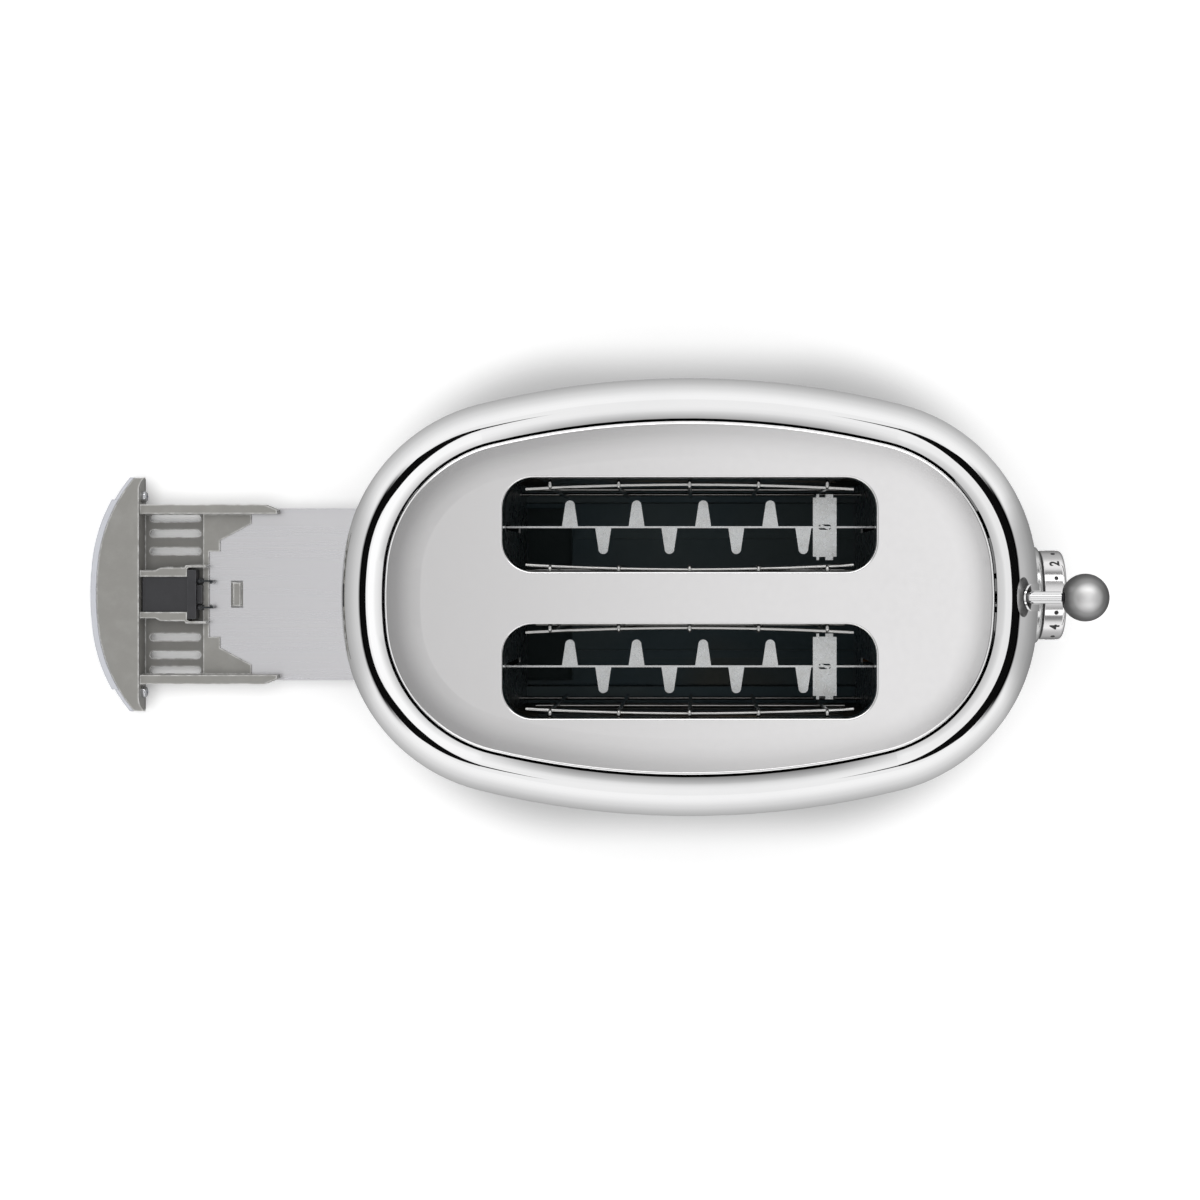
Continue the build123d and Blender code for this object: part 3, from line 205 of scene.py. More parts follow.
def makeRoom(setup):
    world = bpy.data.worlds.new("studio")
    bpy.context.scene.world = world
    world.use_nodes = True
    tree = world.node_tree
    tree.nodes.clear()
    coordinates = addNode(tree, "ShaderNodeTexCoord")
    east, north, up = splitVector(tree, coordinates.outputs["Generated"])
    rise = multiplied(tree, mathNode(tree, "ARCSINE", up), 180 / math.pi)
    flatSquared = mathNode(tree, "SUBTRACT", 1.0, multiplied(tree, up, up))
    flat = mathNode(tree, "SQRT", mathNode(tree, "MAXIMUM", flatSquared, tiny))
    towardsLever = mathNode(tree, "DIVIDE", east, flat)
    towardsEnds = mathNode(tree, "DIVIDE", mathNode(tree, "ABSOLUTE", east), flat)
    towardsSides = mathNode(tree, "DIVIDE", mathNode(tree, "ABSOLUTE", north), flat)

    def levels(height, stops):
        place = mathNode(tree, "MULTIPLY_ADD", height, 1 / 180, 0.5)
        return rampNode(tree, place, [((stop + 90) / 180, grey) for stop, grey in stops])

    onRight = mathNode(tree, "LESS_THAN", north, 0.0)
    lowered = mathNode(tree, "MULTIPLY_ADD", onRight, setup["sideShift"], rise)
    besides = rangeNode(tree, towardsSides, *setup["sideOpen"])
    level = mixColour(
        tree, besides, levels(rise, setup["heights"]), levels(lowered, setup["sideHeights"]))

    # the gap closes straight out from the long sides
    leverTop, trayTop = setup["gapTops"]
    top = rangeNode(tree, towardsLever, *setup["gapTopTurn"], trayTop, leverTop)
    foot = rangeNode(tree, towardsEnds, *setup["gapFootTurn"], *setup["gapFeet"])
    shut = rangeNode(tree, towardsEnds, *setup["gapOpen"], setup["gapShut"], 0.0, smooth=False)
    underTop = mathNode(tree, "SUBTRACT", top, rise)
    overFoot = mathNode(tree, "SUBTRACT", rise, foot)
    inside = mathNode(tree, "MINIMUM", underTop, overFoot)
    opened = mathNode(tree, "SUBTRACT", inside, shut)
    gap = mathNode(tree, "MULTIPLY", opened, setup["gapEdge"], clamp=True)
    level = mixColour(tree, gap, level, (setup["gapLevel"],) * 3)

    # the room is a little brighter towards one end
    turned = mathNode(tree, "MINIMUM", multiplied(tree, east, setup["tiltTurn"]), 1.0)
    turned = mathNode(tree, "MAXIMUM", turned, -1.0)
    lean = multiplied(tree, turned, setup["tilt"], rangeNode(tree, rise, *setup["tiltFrom"]))
    lowBand = multiplied(
        tree, rangeNode(tree, rise, *setup["lowTiltFrom"]),
        rangeNode(tree, rise, *setup["lowTiltTo"], 1.0, 0.0))
    lowLean = multiplied(tree, east, setup["lowTilt"], lowBand)

    low, high, soft = setup["stripLow"], setup["stripHigh"], setup["stripSoft"]
    leftStrip, rightStrip = setup["strips"]
    onLeft = mathNode(tree, "GREATER_THAN", north, 0.0)
    strips = multiplied(
        tree, rangeNode(tree, rise, low - soft, low + soft),
        rangeNode(tree, rise, high - soft, high + soft, 1.0, 0.0),
        rangeNode(tree, towardsSides, *setup["stripEnds"]),
        mixValue(tree, onLeft, rightStrip, leftStrip))
    extra = mathNode(tree, "ADD", mathNode(tree, "ADD", lean, lowLean), strips)
    level = mixColour(tree, 1.0, level, extra, blend="ADD")

    # only polished metal sees all this
    path = addNode(tree, "ShaderNodeLightPath")
    offFloor = mathNode(tree, "GREATER_THAN", path.outputs["Diffuse Depth"], 0.5)
    level = mixColour(tree, offFloor, level, (setup["shellFill"],) * 3)
    level = mixColour(tree, path.outputs["Is Glossy Ray"], (setup["plain"],) * 3, level)
    seen = mathNode(
        tree, "MAXIMUM", path.outputs["Is Camera Ray"], path.outputs["Is Transmission Ray"])
    level = mixColour(tree, seen, level, (1.0, 1.0, 1.0))
    background = addNode(tree, "ShaderNodeBackground")
    setInput(background.inputs["Color"], level)
    output = addNode(tree, "ShaderNodeOutputWorld")
    setInput(output.inputs["Surface"], background.outputs[0])


makeRoom(roomLight)

lampSetup = {"height": 2.2, "side": 2.0, "power": 26.0}


def makeLamp(setup):
    # one big soft lamp straight above, hidden from reflections and from the camera
    data = bpy.data.lights.new("overhead", "AREA")
    data.shape = "SQUARE"
    data.size = setup["side"]
    data.energy = setup["power"]
    lamp = addObject("overhead", data)
    lamp.location = (0, 0, setup["height"])
    lamp.visible_glossy = False
    lamp.visible_camera = False


makeLamp(lampSetup)

floorSetup = {
    "half": 4.0,
    "paper": 1.28,  # what the camera sees
    "bounce": 0.85,  # what everything else sees
    "bodyReach": (0.056, 0.099),  # half the straight middle and half the width of the body's plan
    "mirrored": [  # what polished metal sees: metres from the body and level
        (0.0, 0.36), (0.04, 0.41), (0.10, 0.51), (0.16, 0.59), (0.245, 0.72), (0.415, 0.86),
        (0.6, 0.95), (1.0, 1.0),
    ],
    "endDim": (0.45, 0.30),  # dimmer straight out from the lever end and from the tray
    "dimShares": (0.88, 0.985),  # 1 is straight out from an end
    "fadeStart": (0.8, 0.7),  # metres out where it turns dark, towards the lever end and the tray
    "fadeEnd": (2.4, 2.6),
    "fadeShares": (0.70, 0.88),
    "shade": (0.005, 0.031, 0.57),  # soft shade beside the long sides: from, to, and its level
    "shadeShares": (0.3, 0.95),  # 1 is straight out from a long side
}


def makeFloor(setup):
    mesh = bpy.data.meshes.new("floor")
    half = setup["half"]
    corners = [(-half, -half, 0), (half, -half, 0), (half, half, 0), (-half, half, 0)]
    mesh.from_pydata(corners, [], [(0, 1, 2, 3)])
    floor = addObject("floor", mesh)
    material = bpy.data.materials.new("floorPaper")
    material.use_nodes = True
    tree = material.node_tree
    tree.nodes.clear()
    geometry = addNode(tree, "ShaderNodeNewGeometry")
    parts = splitVector(tree, geometry.outputs["Position"])
    east = mathNode(tree, "ABSOLUTE", parts[0])
    north = mathNode(tree, "ABSOLUTE", parts[1])
    reach = flatReach(tree, east, north)
    straight, wide = setup["bodyReach"]
    pastEnd = mathNode(tree, "MAXIMUM", mathNode(tree, "SUBTRACT", east, straight), 0.0)
    fromMiddle = flatReach(tree, pastEnd, north)
    besides = mathNode(tree, "DIVIDE", north, fromMiddle)
    away = mathNode(tree, "SUBTRACT", fromMiddle, wide)

    # mirrored in the metal: painted shade near the body, and darker towards the two ends
    towardsEnds = mathNode(tree, "DIVIDE", east, reach)
    atTray = mathNode(tree, "LESS_THAN", parts[0], 0.0)
    fadeStart = mixValue(tree, atTray, *setup["fadeStart"])
    fadeEnd = mixValue(tree, atTray, *setup["fadeEnd"])
    fade = multiplied(
        tree, rangeNode(tree, reach, fadeStart, fadeEnd),
        rangeNode(tree, towardsEnds, *setup["fadeShares"]))
    dim = multiplied(
        tree, rangeNode(tree, towardsEnds, *setup["dimShares"]),
        mixValue(tree, atTray, *setup["endDim"]))
    level = rampNode(tree, away, setup["mirrored"])
    level = mixColour(tree, mathNode(tree, "MAXIMUM", fade, dim), level, (0.0, 0.0, 0.0))

    # seen straight: pale paper with a soft shade beside the long sides
    low, high, darkest = setup["shade"]
    shade = mixValue(
        tree, rangeNode(tree, besides, *setup["shadeShares"]), 1.0,
        rangeNode(tree, away, low, high, darkest, 1.0))
    path = addNode(tree, "ShaderNodeLightPath")
    paper = multiplied(tree, shade, setup["paper"])
    grey = mixValue(tree, path.outputs["Is Camera Ray"], setup["bounce"], paper)
    diffuse = addNode(tree, "ShaderNodeBsdfDiffuse")
    setInput(diffuse.inputs["Color"], grey)
    glow = addNode(tree, "ShaderNodeEmission")
    setInput(glow.inputs["Color"], level)
    both = addNode(tree, "ShaderNodeMixShader")
    setInput(both.inputs[0], path.outputs["Is Glossy Ray"])
    setInput(both.inputs[1], diffuse.outputs[0])
    setInput(both.inputs[2], glow.outputs[0])
    output = addNode(tree, "ShaderNodeOutputMaterial")
    setInput(output.inputs["Surface"], both.outputs[0])
    mesh.materials.append(material)


makeFloor(floorSetup)
print("camera, room and floor made")


# shared effects, as node groups that put out masks, heights and shades

def newGroup(name, inputs, outputs):
    group = bpy.data.node_groups.new(name, "ShaderNodeTree")
    for label, kind, value in inputs:
        socket = group.interface.new_socket(name=label, in_out="INPUT", socket_type=kind)
        socket.default_value = value
    for label, kind in outputs:
        group.interface.new_socket(name=label, in_out="OUTPUT", socket_type=kind)
    return group, group.nodes.new("NodeGroupInput"), group.nodes.new("NodeGroupOutput")


def objectPoint(tree, stretch=None):
    # the point on the part in metres, which moves with the part
    point = addNode(tree, "ShaderNodeTexCoord").outputs["Object"]
    if stretch is None:
        return point
    node = addNode(tree, "ShaderNodeVectorMath", operation="MULTIPLY")
    setInput(node.inputs[0], point)
    setInput(node.inputs[1], stretch)
    return node.outputs[0]


def normalHeight(tree):
    # 1 where the surface faces up, 0 where it stands upright
    normal = addNode(tree, "ShaderNodeNewGeometry").outputs["Normal"]
    return splitVector(tree, normal)[2]


def makeGrain():
    # fine blasted or moulded grain: Height for a bump, Shade for colour
    group, given, made = newGroup("fineGrain", [
        ("Scale", "NodeSocketFloat", 2500.0),
        ("Stretch", "NodeSocketVector", (1.0, 1.0, 1.0)),
    ], [("Height", "NodeSocketFloat"), ("Shade", "NodeSocketFloat")])
    broadScale = 0.13  # scale of the broad patches against the fine grain
    point = objectPoint(group, given.outputs["Stretch"])
    scale = given.outputs["Scale"]
    fine = noiseNode(group, point, scale, 3.0, 0.6)
    broad = noiseNode(group, point, multiplied(group, scale, broadScale), 2.0)
    setInput(made.inputs["Height"], fine)
    setInput(made.inputs["Shade"], mathNode(
        group, "MULTIPLY_ADD", fine, 0.5, multiplied(group, broad, 0.5)))
    return group


def makeSmudges():
    # soft hand marks and wiping streaks, 0 clean to 1 smudged
    group, given, made = newGroup("smudges", [
        ("Scale", "NodeSocketFloat", 18.0),
        ("Amount", "NodeSocketFloat", 1.0),
    ], [("Mask", "NodeSocketFloat")])
    patchFrom = (0.46, 0.72)
    streakScale = 9.0  # scale of the streaks against the patches
    streakStretch = (1.0, 0.25, 0.6)
    streakShare, leastShare = 0.7, 0.4
    scale = given.outputs["Scale"]
    patches = noiseNode(group, objectPoint(group), scale, 4.0, 0.55)
    patches = rangeNode(group, patches, *patchFrom)
    wiped = objectPoint(group, streakStretch)
    streaks = noiseNode(group, wiped, multiplied(group, scale, streakScale), 2.0)
    streaks = mathNode(group, "MULTIPLY_ADD", streaks, streakShare, leastShare)
    mask = multiplied(group, patches, streaks)
    setInput(made.inputs["Mask"], mathNode(
        group, "MULTIPLY", mask, given.outputs["Amount"], clamp=True))
    return group


def makeEdgeWear():
    # rubbed edges and the painted edge highlights on plastic, from the difference between the
    # rounded and the true normal
    group, given, made = newGroup("edgeWearAndHighlight", [
        ("Width", "NodeSocketFloat", 0.0006),
        ("Amount", "NodeSocketFloat", 1.0),
        ("Scale", "NodeSocketFloat", 300.0),
    ], [("Mask", "NodeSocketFloat")])
    sharpness = 6.0  # how soon a small turn of the normal counts as an edge
    patchFrom = (0.35, 0.65)
    patchShare, leastShare = 0.7, 0.3
    bevel = addNode(group, "ShaderNodeBevel", samples=4)
    setInput(bevel.inputs["Radius"], given.outputs["Width"])
    dot = addNode(group, "ShaderNodeVectorMath", operation="DOT_PRODUCT")
    setInput(dot.inputs[0], bevel.outputs[0])
    setInput(dot.inputs[1], addNode(group, "ShaderNodeNewGeometry").outputs["Normal"])
    rounded = mathNode(group, "SUBTRACT", 1.0, dot.outputs["Value"])
    edge = mathNode(group, "MULTIPLY", rounded, sharpness, clamp=True)
    patchy = noiseNode(group, objectPoint(group), given.outputs["Scale"], 3.0)
    patchy = rangeNode(group, patchy, *patchFrom)
    patchy = mathNode(group, "MULTIPLY_ADD", patchy, patchShare, leastShare)
    edge = multiplied(group, edge, patchy)
    setInput(made.inputs["Mask"], mathNode(
        group, "MULTIPLY", edge, given.outputs["Amount"], clamp=True))
    return group


def makeDust():
    # a little dust on what faces up
    group, given, made = newGroup("settledDust", [
        ("Scale", "NodeSocketFloat", 60.0),
        ("Amount", "NodeSocketFloat", 0.3),
    ], [("Mask", "NodeSocketFloat")])
    facingFrom = (0.5, 1.0)
    patchFrom = (0.4, 0.75)
    facing = rangeNode(group, normalHeight(group), *facingFrom)
    patches = noiseNode(group, objectPoint(group), given.outputs["Scale"], 5.0, 0.6)
    mask = multiplied(group, facing, rangeNode(group, patches, *patchFrom))
    setInput(made.inputs["Mask"], mathNode(
        group, "MULTIPLY", mask, given.outputs["Amount"], clamp=True))
    return group


def makeBrushing():
    # long fine scratches along one axis: Height for a bump, Shade for colour
    group, given, made = newGroup("brushing", [
        ("Stretch", "NodeSocketVector", (6.0, 1400.0, 1400.0)),
    ], [("Height", "NodeSocketFloat"), ("Shade", "NodeSocketFloat")])
    coarseScale = 0.22
    fineShare, coarseShare = 0.45, 0.55
    point = objectPoint(group, given.outputs["Stretch"])
    fine = noiseNode(group, point, 1.0, 3.0, 0.6)
    coarse = noiseNode(group, point, coarseScale, 2.0, 0.5)
    setInput(made.inputs["Height"], fine)
    setInput(made.inputs["Shade"], mathNode(
        group, "MULTIPLY_ADD", fine, fineShare, multiplied(group, coarse, coarseShare)))
    return group


def makeSpangle():
    # crystal patches of zinc: a shade and a turn of the surface for each patch
    group, given, made = newGroup("zincSpangle", [
        ("Scale", "NodeSocketFloat", 350.0),
    ], [("Shade", "NodeSocketFloat"), ("Height", "NodeSocketFloat")])
    wander = (0.0012, 0.0012, 0.0012)  # how far the patches' outlines wander, in metres
    wanderScale = 900.0
    wobble = addNode(group, "ShaderNodeTexNoise")
    wobble.inputs["Scale"].default_value = wanderScale
    setInput(wobble.inputs["Vector"], objectPoint(group))
    warp = addNode(group, "ShaderNodeVectorMath", operation="MULTIPLY_ADD")
    setInput(warp.inputs[0], wobble.outputs["Color"])
    setInput(warp.inputs[1], wander)
    setInput(warp.inputs[2], objectPoint(group))
    cells = addNode(group, "ShaderNodeTexVoronoi", feature="F1")
    setInput(cells.inputs["Vector"], warp.outputs[0])
    setInput(cells.inputs["Scale"], given.outputs["Scale"])
    parts = addNode(group, "ShaderNodeSeparateColor")
    setInput(parts.inputs[0], cells.outputs["Color"])
    setInput(made.inputs["Shade"], parts.outputs[0])
    setInput(made.inputs["Height"], multiplied(group, parts.outputs[1], cells.outputs["Distance"]))
    return group


groups = {
    "grain": makeGrain(),
    "smudges": makeSmudges(),
    "edgeWearAndHighlight": makeEdgeWear(),
    "dust": makeDust(),
    "brushing": makeBrushing(),
    "spangle": makeSpangle(),
}


def placeGroup(tree, name, **values):
    node = tree.nodes.new("ShaderNodeGroup")
    node.node_tree = groups[name]
    for label, value in values.items():
        setInput(node.inputs[label], value)
    return node.outputs


print("shared effects made")


# finishes: each look says its bump's strength and depth in metres, its middle roughness and how
# far that varies over the surface

def newFinish(name, metallic, roughness):
    material = bpy.data.materials.new(name)
    material.use_nodes = True
    shader = material.node_tree.nodes["Principled BSDF"]
    shader.inputs["Metallic"].default_value = metallic
    shader.inputs["Roughness"].default_value = roughness
    return material, material.node_tree, shader.inputs


def bumpNode(tree, look, height):
    node = addNode(tree, "ShaderNodeBump")
    node.inputs["Strength"].default_value = look["bump"]
    node.inputs["Distance"].default_value = look["bumpDepth"]
    setInput(node.inputs["Height"], height)
    return node.outputs[0]


def variedRough(tree, look, shade):
    smoothest = look["rough"] - look["spread"] / 2
    return mathNode(tree, "MULTIPLY_ADD", shade, look["spread"], smoothest)


chromeLook = {
    "metal": (0.900, 0.899, 0.902),
    "hazed": (0.80, 0.80, 0.81),
    "clean": 0.018,  # roughness where it is clean and where it is smudged
    "smudged": 0.075,
    "scale": 16.0,
    "amount": 0.35,
    "grain": 900.0,
    "grainRough": 0.01,
}


def chromeFinish(name, look):
    # polished metal with faint hand marks and wiping
    material, tree, shader = newFinish(name, 1.0, look["clean"])
    smudge = placeGroup(tree, "smudges", Scale=look["scale"], Amount=look["amount"])["Mask"]
    grain = placeGroup(tree, "grain", Scale=look["grain"])
    setInput(shader["Base Color"], mixColour(tree, smudge, look["metal"], look["hazed"]))
    haze = mixValue(tree, smudge, look["clean"], look["smudged"])
    setInput(shader["Roughness"], mathNode(
        tree, "MULTIPLY_ADD", grain["Shade"], look["grainRough"], haze))
    return material


satinLook = {
    "metal": (0.895, 0.885, 0.889),
    "dark": (0.78, 0.772, 0.776),
    "darkShare": 0.35,  # how much of the dark shade the grain brings in, and a smudge as well
    "rough": 0.20,
    "spread": 0.07,
    "edgeRough": 0.07,  # roughness where the edges are rubbed bright and along the bends
    "edgeWidth": 0.0006,
    "edgeAmount": 0.8,
    "smudgeScale": 14.0,
    "smudgeAmount": 0.25,
    "smudgeRough": 0.05,
    "bends": (0.965, 0.90),  # height of the normal where a bend starts and where its painted highlight is full
    "paintedBendHighlight": (1.0, 1.0, 1.0),
    "paintedLeanShade": None,  # painted shade by how far the surface leans: height of the normal, shade
    "grain": 2600.0,
    "stretch": (1.0, 1.0, 1.0),
    "bump": 0.10,
    "bumpDepth": 0.00005,
}


def satinFinish(name, look):
    # blasted or brushed metal with an even soft sheen
    material, tree, shader = newFinish(name, 1.0, look["rough"])
    grain = placeGroup(tree, "grain", Scale=look["grain"], Stretch=look["stretch"])
    smudge = placeGroup(
        tree, "smudges", Scale=look["smudgeScale"], Amount=look["smudgeAmount"])["Mask"]
    edge = placeGroup(
        tree, "edgeWearAndHighlight", Width=look["edgeWidth"], Amount=look["edgeAmount"])["Mask"]
    darkened = mathNode(
        tree, "MULTIPLY_ADD", grain["Shade"], look["darkShare"],
        multiplied(tree, smudge, look["darkShare"]))
    base = mixColour(tree, darkened, look["metal"], look["dark"])
    base = mixColour(tree, edge, base, look["metal"])
    rough = variedRough(tree, look, grain["Shade"])
    rough = mathNode(tree, "MULTIPLY_ADD", smudge, look["smudgeRough"], rough)
    # painted highlight: the bends are whitened as if they caught the light
    if look["bends"]:
        flatTop, leaning = look["bends"]
        bend = rangeNode(tree, normalHeight(tree), leaning, flatTop, 1.0, 0.0)
        base = mixColour(tree, bend, base, look["paintedBendHighlight"])
        edge = mathNode(tree, "MAXIMUM", edge, bend)
    # painted shade: brighter where the surface faces up, darker down its sides
    if look["paintedLeanShade"]:
        paintedTone = rampNode(tree, normalHeight(tree), look["paintedLeanShade"])
        base = mixColour(tree, 1.0, base, paintedTone, blend="MULTIPLY")
    setInput(shader["Base Color"], base)
    setInput(shader["Roughness"], mixValue(tree, edge, rough, look["edgeRough"]))
    setInput(shader["Normal"], bumpNode(tree, look, grain["Height"]))
    return material


zincLook = {
    "bright": (0.93, 0.94, 0.94),
    "dull": (0.60, 0.62, 0.63),
    "tint": (0.45, 0.42, 0.38),
    "rough": 0.33,
    "spread": 0.18,
    "scale": 1000.0,
    "edgeWidth": 0.0005,
    "edgeAmount": 0.9,
    "dustScale": 140.0,
    "dustAmount": 0.25,
    "bump": 0.25,
    "bumpDepth": 0.00008,
}


def zincFinish(name, look):
    # spangled zinc coat, a little tinted by heat
    material, tree, shader = newFinish(name, 1.0, look["rough"])
    spangle = placeGroup(tree, "spangle", Scale=look["scale"])
    edge = placeGroup(
        tree, "edgeWearAndHighlight", Width=look["edgeWidth"], Amount=look["edgeAmount"])["Mask"]
    dust = placeGroup(tree, "dust", Scale=look["dustScale"], Amount=look["dustAmount"])["Mask"]
    base = mixColour(tree, spangle["Shade"], look["dull"], look["bright"])
    base = mixColour(tree, dust, base, look["tint"])
    setInput(shader["Base Color"], mixColour(tree, edge, base, look["bright"]))
    setInput(shader["Roughness"], variedRough(tree, look, spangle["Shade"]))
    setInput(shader["Normal"], bumpNode(tree, look, spangle["Height"]))
    return material


heatedLook = {
    "metal": (0.095, 0.118, 0.118),
    "blue": (0.064, 0.098, 0.118),
    "straw": (0.135, 0.125, 0.100),
    "rubbed": (0.28, 0.28, 0.27),
    "metallic": 0.75,
    "rough": 0.42,
    "spread": 0.2,
    "scale": 22.0,
    "bandStretch": (0.6, 0.6, 1.6),
    "blueFrom": (0.38, 0.52),
    "strawFrom": (0.55, 0.7),
    "grain": 1200.0,
    "edgeWidth": 0.0005,
    "edgeAmount": 0.35,
    "bump": 0.15,
    "bumpDepth": 0.00008,
}


def heatedFinish(name, look):
    # sheet metal darkened by heat, with bands of blue and straw
    material, tree, shader = newFinish(name, look["metallic"], look["rough"])
    bands = noiseNode(tree, objectPoint(tree, look["bandStretch"]), look["scale"], 3.0)
    grain = placeGroup(tree, "grain", Scale=look["grain"])
    edge = placeGroup(
        tree, "edgeWearAndHighlight", Width=look["edgeWidth"], Amount=look["edgeAmount"])["Mask"]
    blued = rangeNode(tree, bands, *look["blueFrom"])
    strawed = rangeNode(tree, bands, *look["strawFrom"])
    tinted = mixColour(tree, blued, look["metal"], look["blue"])
    tinted = mixColour(tree, strawed, tinted, look["straw"])
    setInput(shader["Base Color"], mixColour(tree, edge, tinted, look["rubbed"]))
    setInput(shader["Roughness"], variedRough(tree, look, grain["Shade"]))
    setInput(shader["Normal"], bumpNode(tree, look, grain["Height"]))
    return material


plasticLook = {
    "colour": (0.305, 0.298, 0.280),
    "deep": (0.255, 0.250, 0.235),
    # colour of dust, and of the painted highlight along the edges
    "dustAndPaintedEdge": (0.92, 0.92, 0.91),
    "metallic": 0.0,
    "rough": 0.40,
    "spread": 0.16,
    "edgeWidth": 0.0013,
    "edgeAmount": 0.9,
    "dustScale": 90.0,
    "dustAmount": 0.05,
    "low": (0.0076, 0.0098, 0.62),  # painted shade low down: from, to, and its share, or None
    "grain": 1800.0,
    "bump": 0.22,
    "bumpDepth": 0.00006,
}


def plasticFinish(name, look):
    # moulded plastic with a fine grain and a painted highlight along its edges
    material, tree, shader = newFinish(name, look["metallic"], look["rough"])
    grain = placeGroup(tree, "grain", Scale=look["grain"])
    edge = placeGroup(
        tree, "edgeWearAndHighlight", Width=look["edgeWidth"], Amount=look["edgeAmount"])["Mask"]
    dust = placeGroup(tree, "dust", Scale=look["dustScale"], Amount=look["dustAmount"])["Mask"]
    base = mixColour(tree, grain["Shade"], look["deep"], look["colour"])
    base = mixColour(tree, dust, base, look["dustAndPaintedEdge"])
    # painted shade: darker low down, where the recess lies in shade
    if look["low"]:
        foot, head, share = look["low"]
        height = splitVector(tree, objectPoint(tree))[2]
        paintedLowShade = rangeNode(tree, height, foot, head, 1.0 - share, 0.0)
        base = mixColour(tree, paintedLowShade, base, (0.0, 0.0, 0.0))
    # painted highlight along the edges
    setInput(shader["Base Color"], mixColour(tree, edge, base, look["dustAndPaintedEdge"]))
    setInput(shader["Roughness"], variedRough(tree, look, grain["Shade"]))
    setInput(shader["Normal"], bumpNode(tree, look, grain["Height"]))
    return material


brushedLook = {
    "metal": (0.985, 0.98, 1.0),
    "dark": (0.90, 0.895, 0.925),
    "paintedInnerShade": (0.10, 0.125, 0.13),
    "paintedInnerShadeFrom": (-0.100, -0.084),  # painted shade: the inner end, under the slots, is darkened
    "paintedInnerShadeRough": 0.65,
    "patchScale": 60.0,  # the painted shade's ragged line
    "patchReach": 0.02,
    "rough": 0.28,
    "spread": 0.2,
    "stretch": (9.0, 900.0, 900.0),
    "smudgeScale": 12.0,
    "smudgeAmount": 0.5,
    "smudgeDark": 0.4,
    "bump": 0.25,
    "bumpDepth": 0.00004,
}


def brushedFinish(name, look):
    # sheet steel brushed along its length
    material, tree, shader = newFinish(name, 1.0, look["rough"])
    lines = placeGroup(tree, "brushing", Stretch=look["stretch"])
    smudge = placeGroup(
        tree, "smudges", Scale=look["smudgeScale"], Amount=look["smudgeAmount"])["Mask"]
    base = mixColour(tree, lines["Shade"], look["dark"], look["metal"])
    base = mixColour(tree, multiplied(tree, smudge, look["smudgeDark"]), base, look["dark"])
    # painted shade over the inner end, which lies under the slots
    along = splitVector(tree, objectPoint(tree))[0]
    patches = noiseNode(tree, objectPoint(tree), look["patchScale"], 4.0)
    patchy = mathNode(tree, "MULTIPLY_ADD", patches, look["patchReach"], along)
    paintedInnerShade = rangeNode(tree, patchy, *look["paintedInnerShadeFrom"])
    rough = variedRough(tree, look, lines["Shade"])
    setInput(shader["Base Color"], mixColour(tree, paintedInnerShade, base, look["paintedInnerShade"]))
    setInput(shader["Roughness"], mixValue(tree, paintedInnerShade, rough, look["paintedInnerShadeRough"]))
    setInput(shader["Normal"], bumpNode(tree, look, lines["Height"]))
    return material


micaLook = {
    "colour": (0.050, 0.044, 0.034),
    "flake": (0.12, 0.105, 0.08),
    "flakeFrom": (0.6, 1.0),
    "scale": 500.0,
    "rough": 0.525,
    "spread": -0.25,
    "bump": 0.3,
    "bumpDepth": 0.0001,
}


def micaFinish(name, look):
    # pressed mica board with small flakes
    material, tree, shader = newFinish(name, 0.0, look["rough"])
    flakes = placeGroup(tree, "spangle", Scale=look["scale"])
    shown = rangeNode(tree, flakes["Shade"], *look["flakeFrom"])
    setInput(shader["Base Color"], mixColour(tree, shown, look["colour"], look["flake"]))
    setInput(shader["Roughness"], variedRough(tree, look, flakes["Shade"]))
    setInput(shader["Normal"], bumpNode(tree, look, flakes["Height"]))
    return material


def bandsNode(tree, axis, scale, distortion=0.0):
    node = addNode(tree, "ShaderNodeTexWave", wave_type="BANDS", bands_direction=axis)
    node.inputs["Scale"].default_value = scale
    node.inputs["Distortion"].default_value = distortion
    setInput(node.inputs["Vector"], objectPoint(tree))
    return node.outputs["Fac"]


boardLook = {
    "lacquer": (0.02, 0.13, 0.05),
    "track": (0.04, 0.22, 0.09),
    "scale": 90.0,
    "wander": 5.0,
    "trackFrom": (0.55, 0.65),
    "rough": 0.36,
    "spread": 0.12,
    "bump": 0.3,
    "bumpDepth": 0.00005,
}


def boardFinish(name, look):
    # lacquered circuit board with the tracks showing through
    material, tree, shader = newFinish(name, 0.0, look["rough"])
    tracks = rangeNode(
        tree, bandsNode(tree, "Y", look["scale"], look["wander"]), *look["trackFrom"])
    setInput(shader["Base Color"], mixColour(tree, tracks, look["lacquer"], look["track"]))
    setInput(shader["Roughness"], variedRough(tree, look, tracks))
    setInput(shader["Normal"], bumpNode(tree, look, tracks))
    return material


coreLook = {
    "lacquer": (0.30, 0.15, 0.05),
    "gap": (0.10, 0.05, 0.02),
    "metallic": 0.35,
    "scale": 420.0,
    "rough": 0.37,
    "spread": -0.1,
    "bump": 0.5,
    "bumpDepth": 0.0002,
}


def coreFinish(name, look):
    # enamelled copper winding, turn beside turn
    material, tree, shader = newFinish(name, look["metallic"], look["rough"])
    turns = bandsNode(tree, "Z", look["scale"])
    setInput(shader["Base Color"], mixColour(tree, turns, look["gap"], look["lacquer"]))
    setInput(shader["Roughness"], variedRough(tree, look, turns))
    setInput(shader["Normal"], bumpNode(tree, look, turns))
    return material


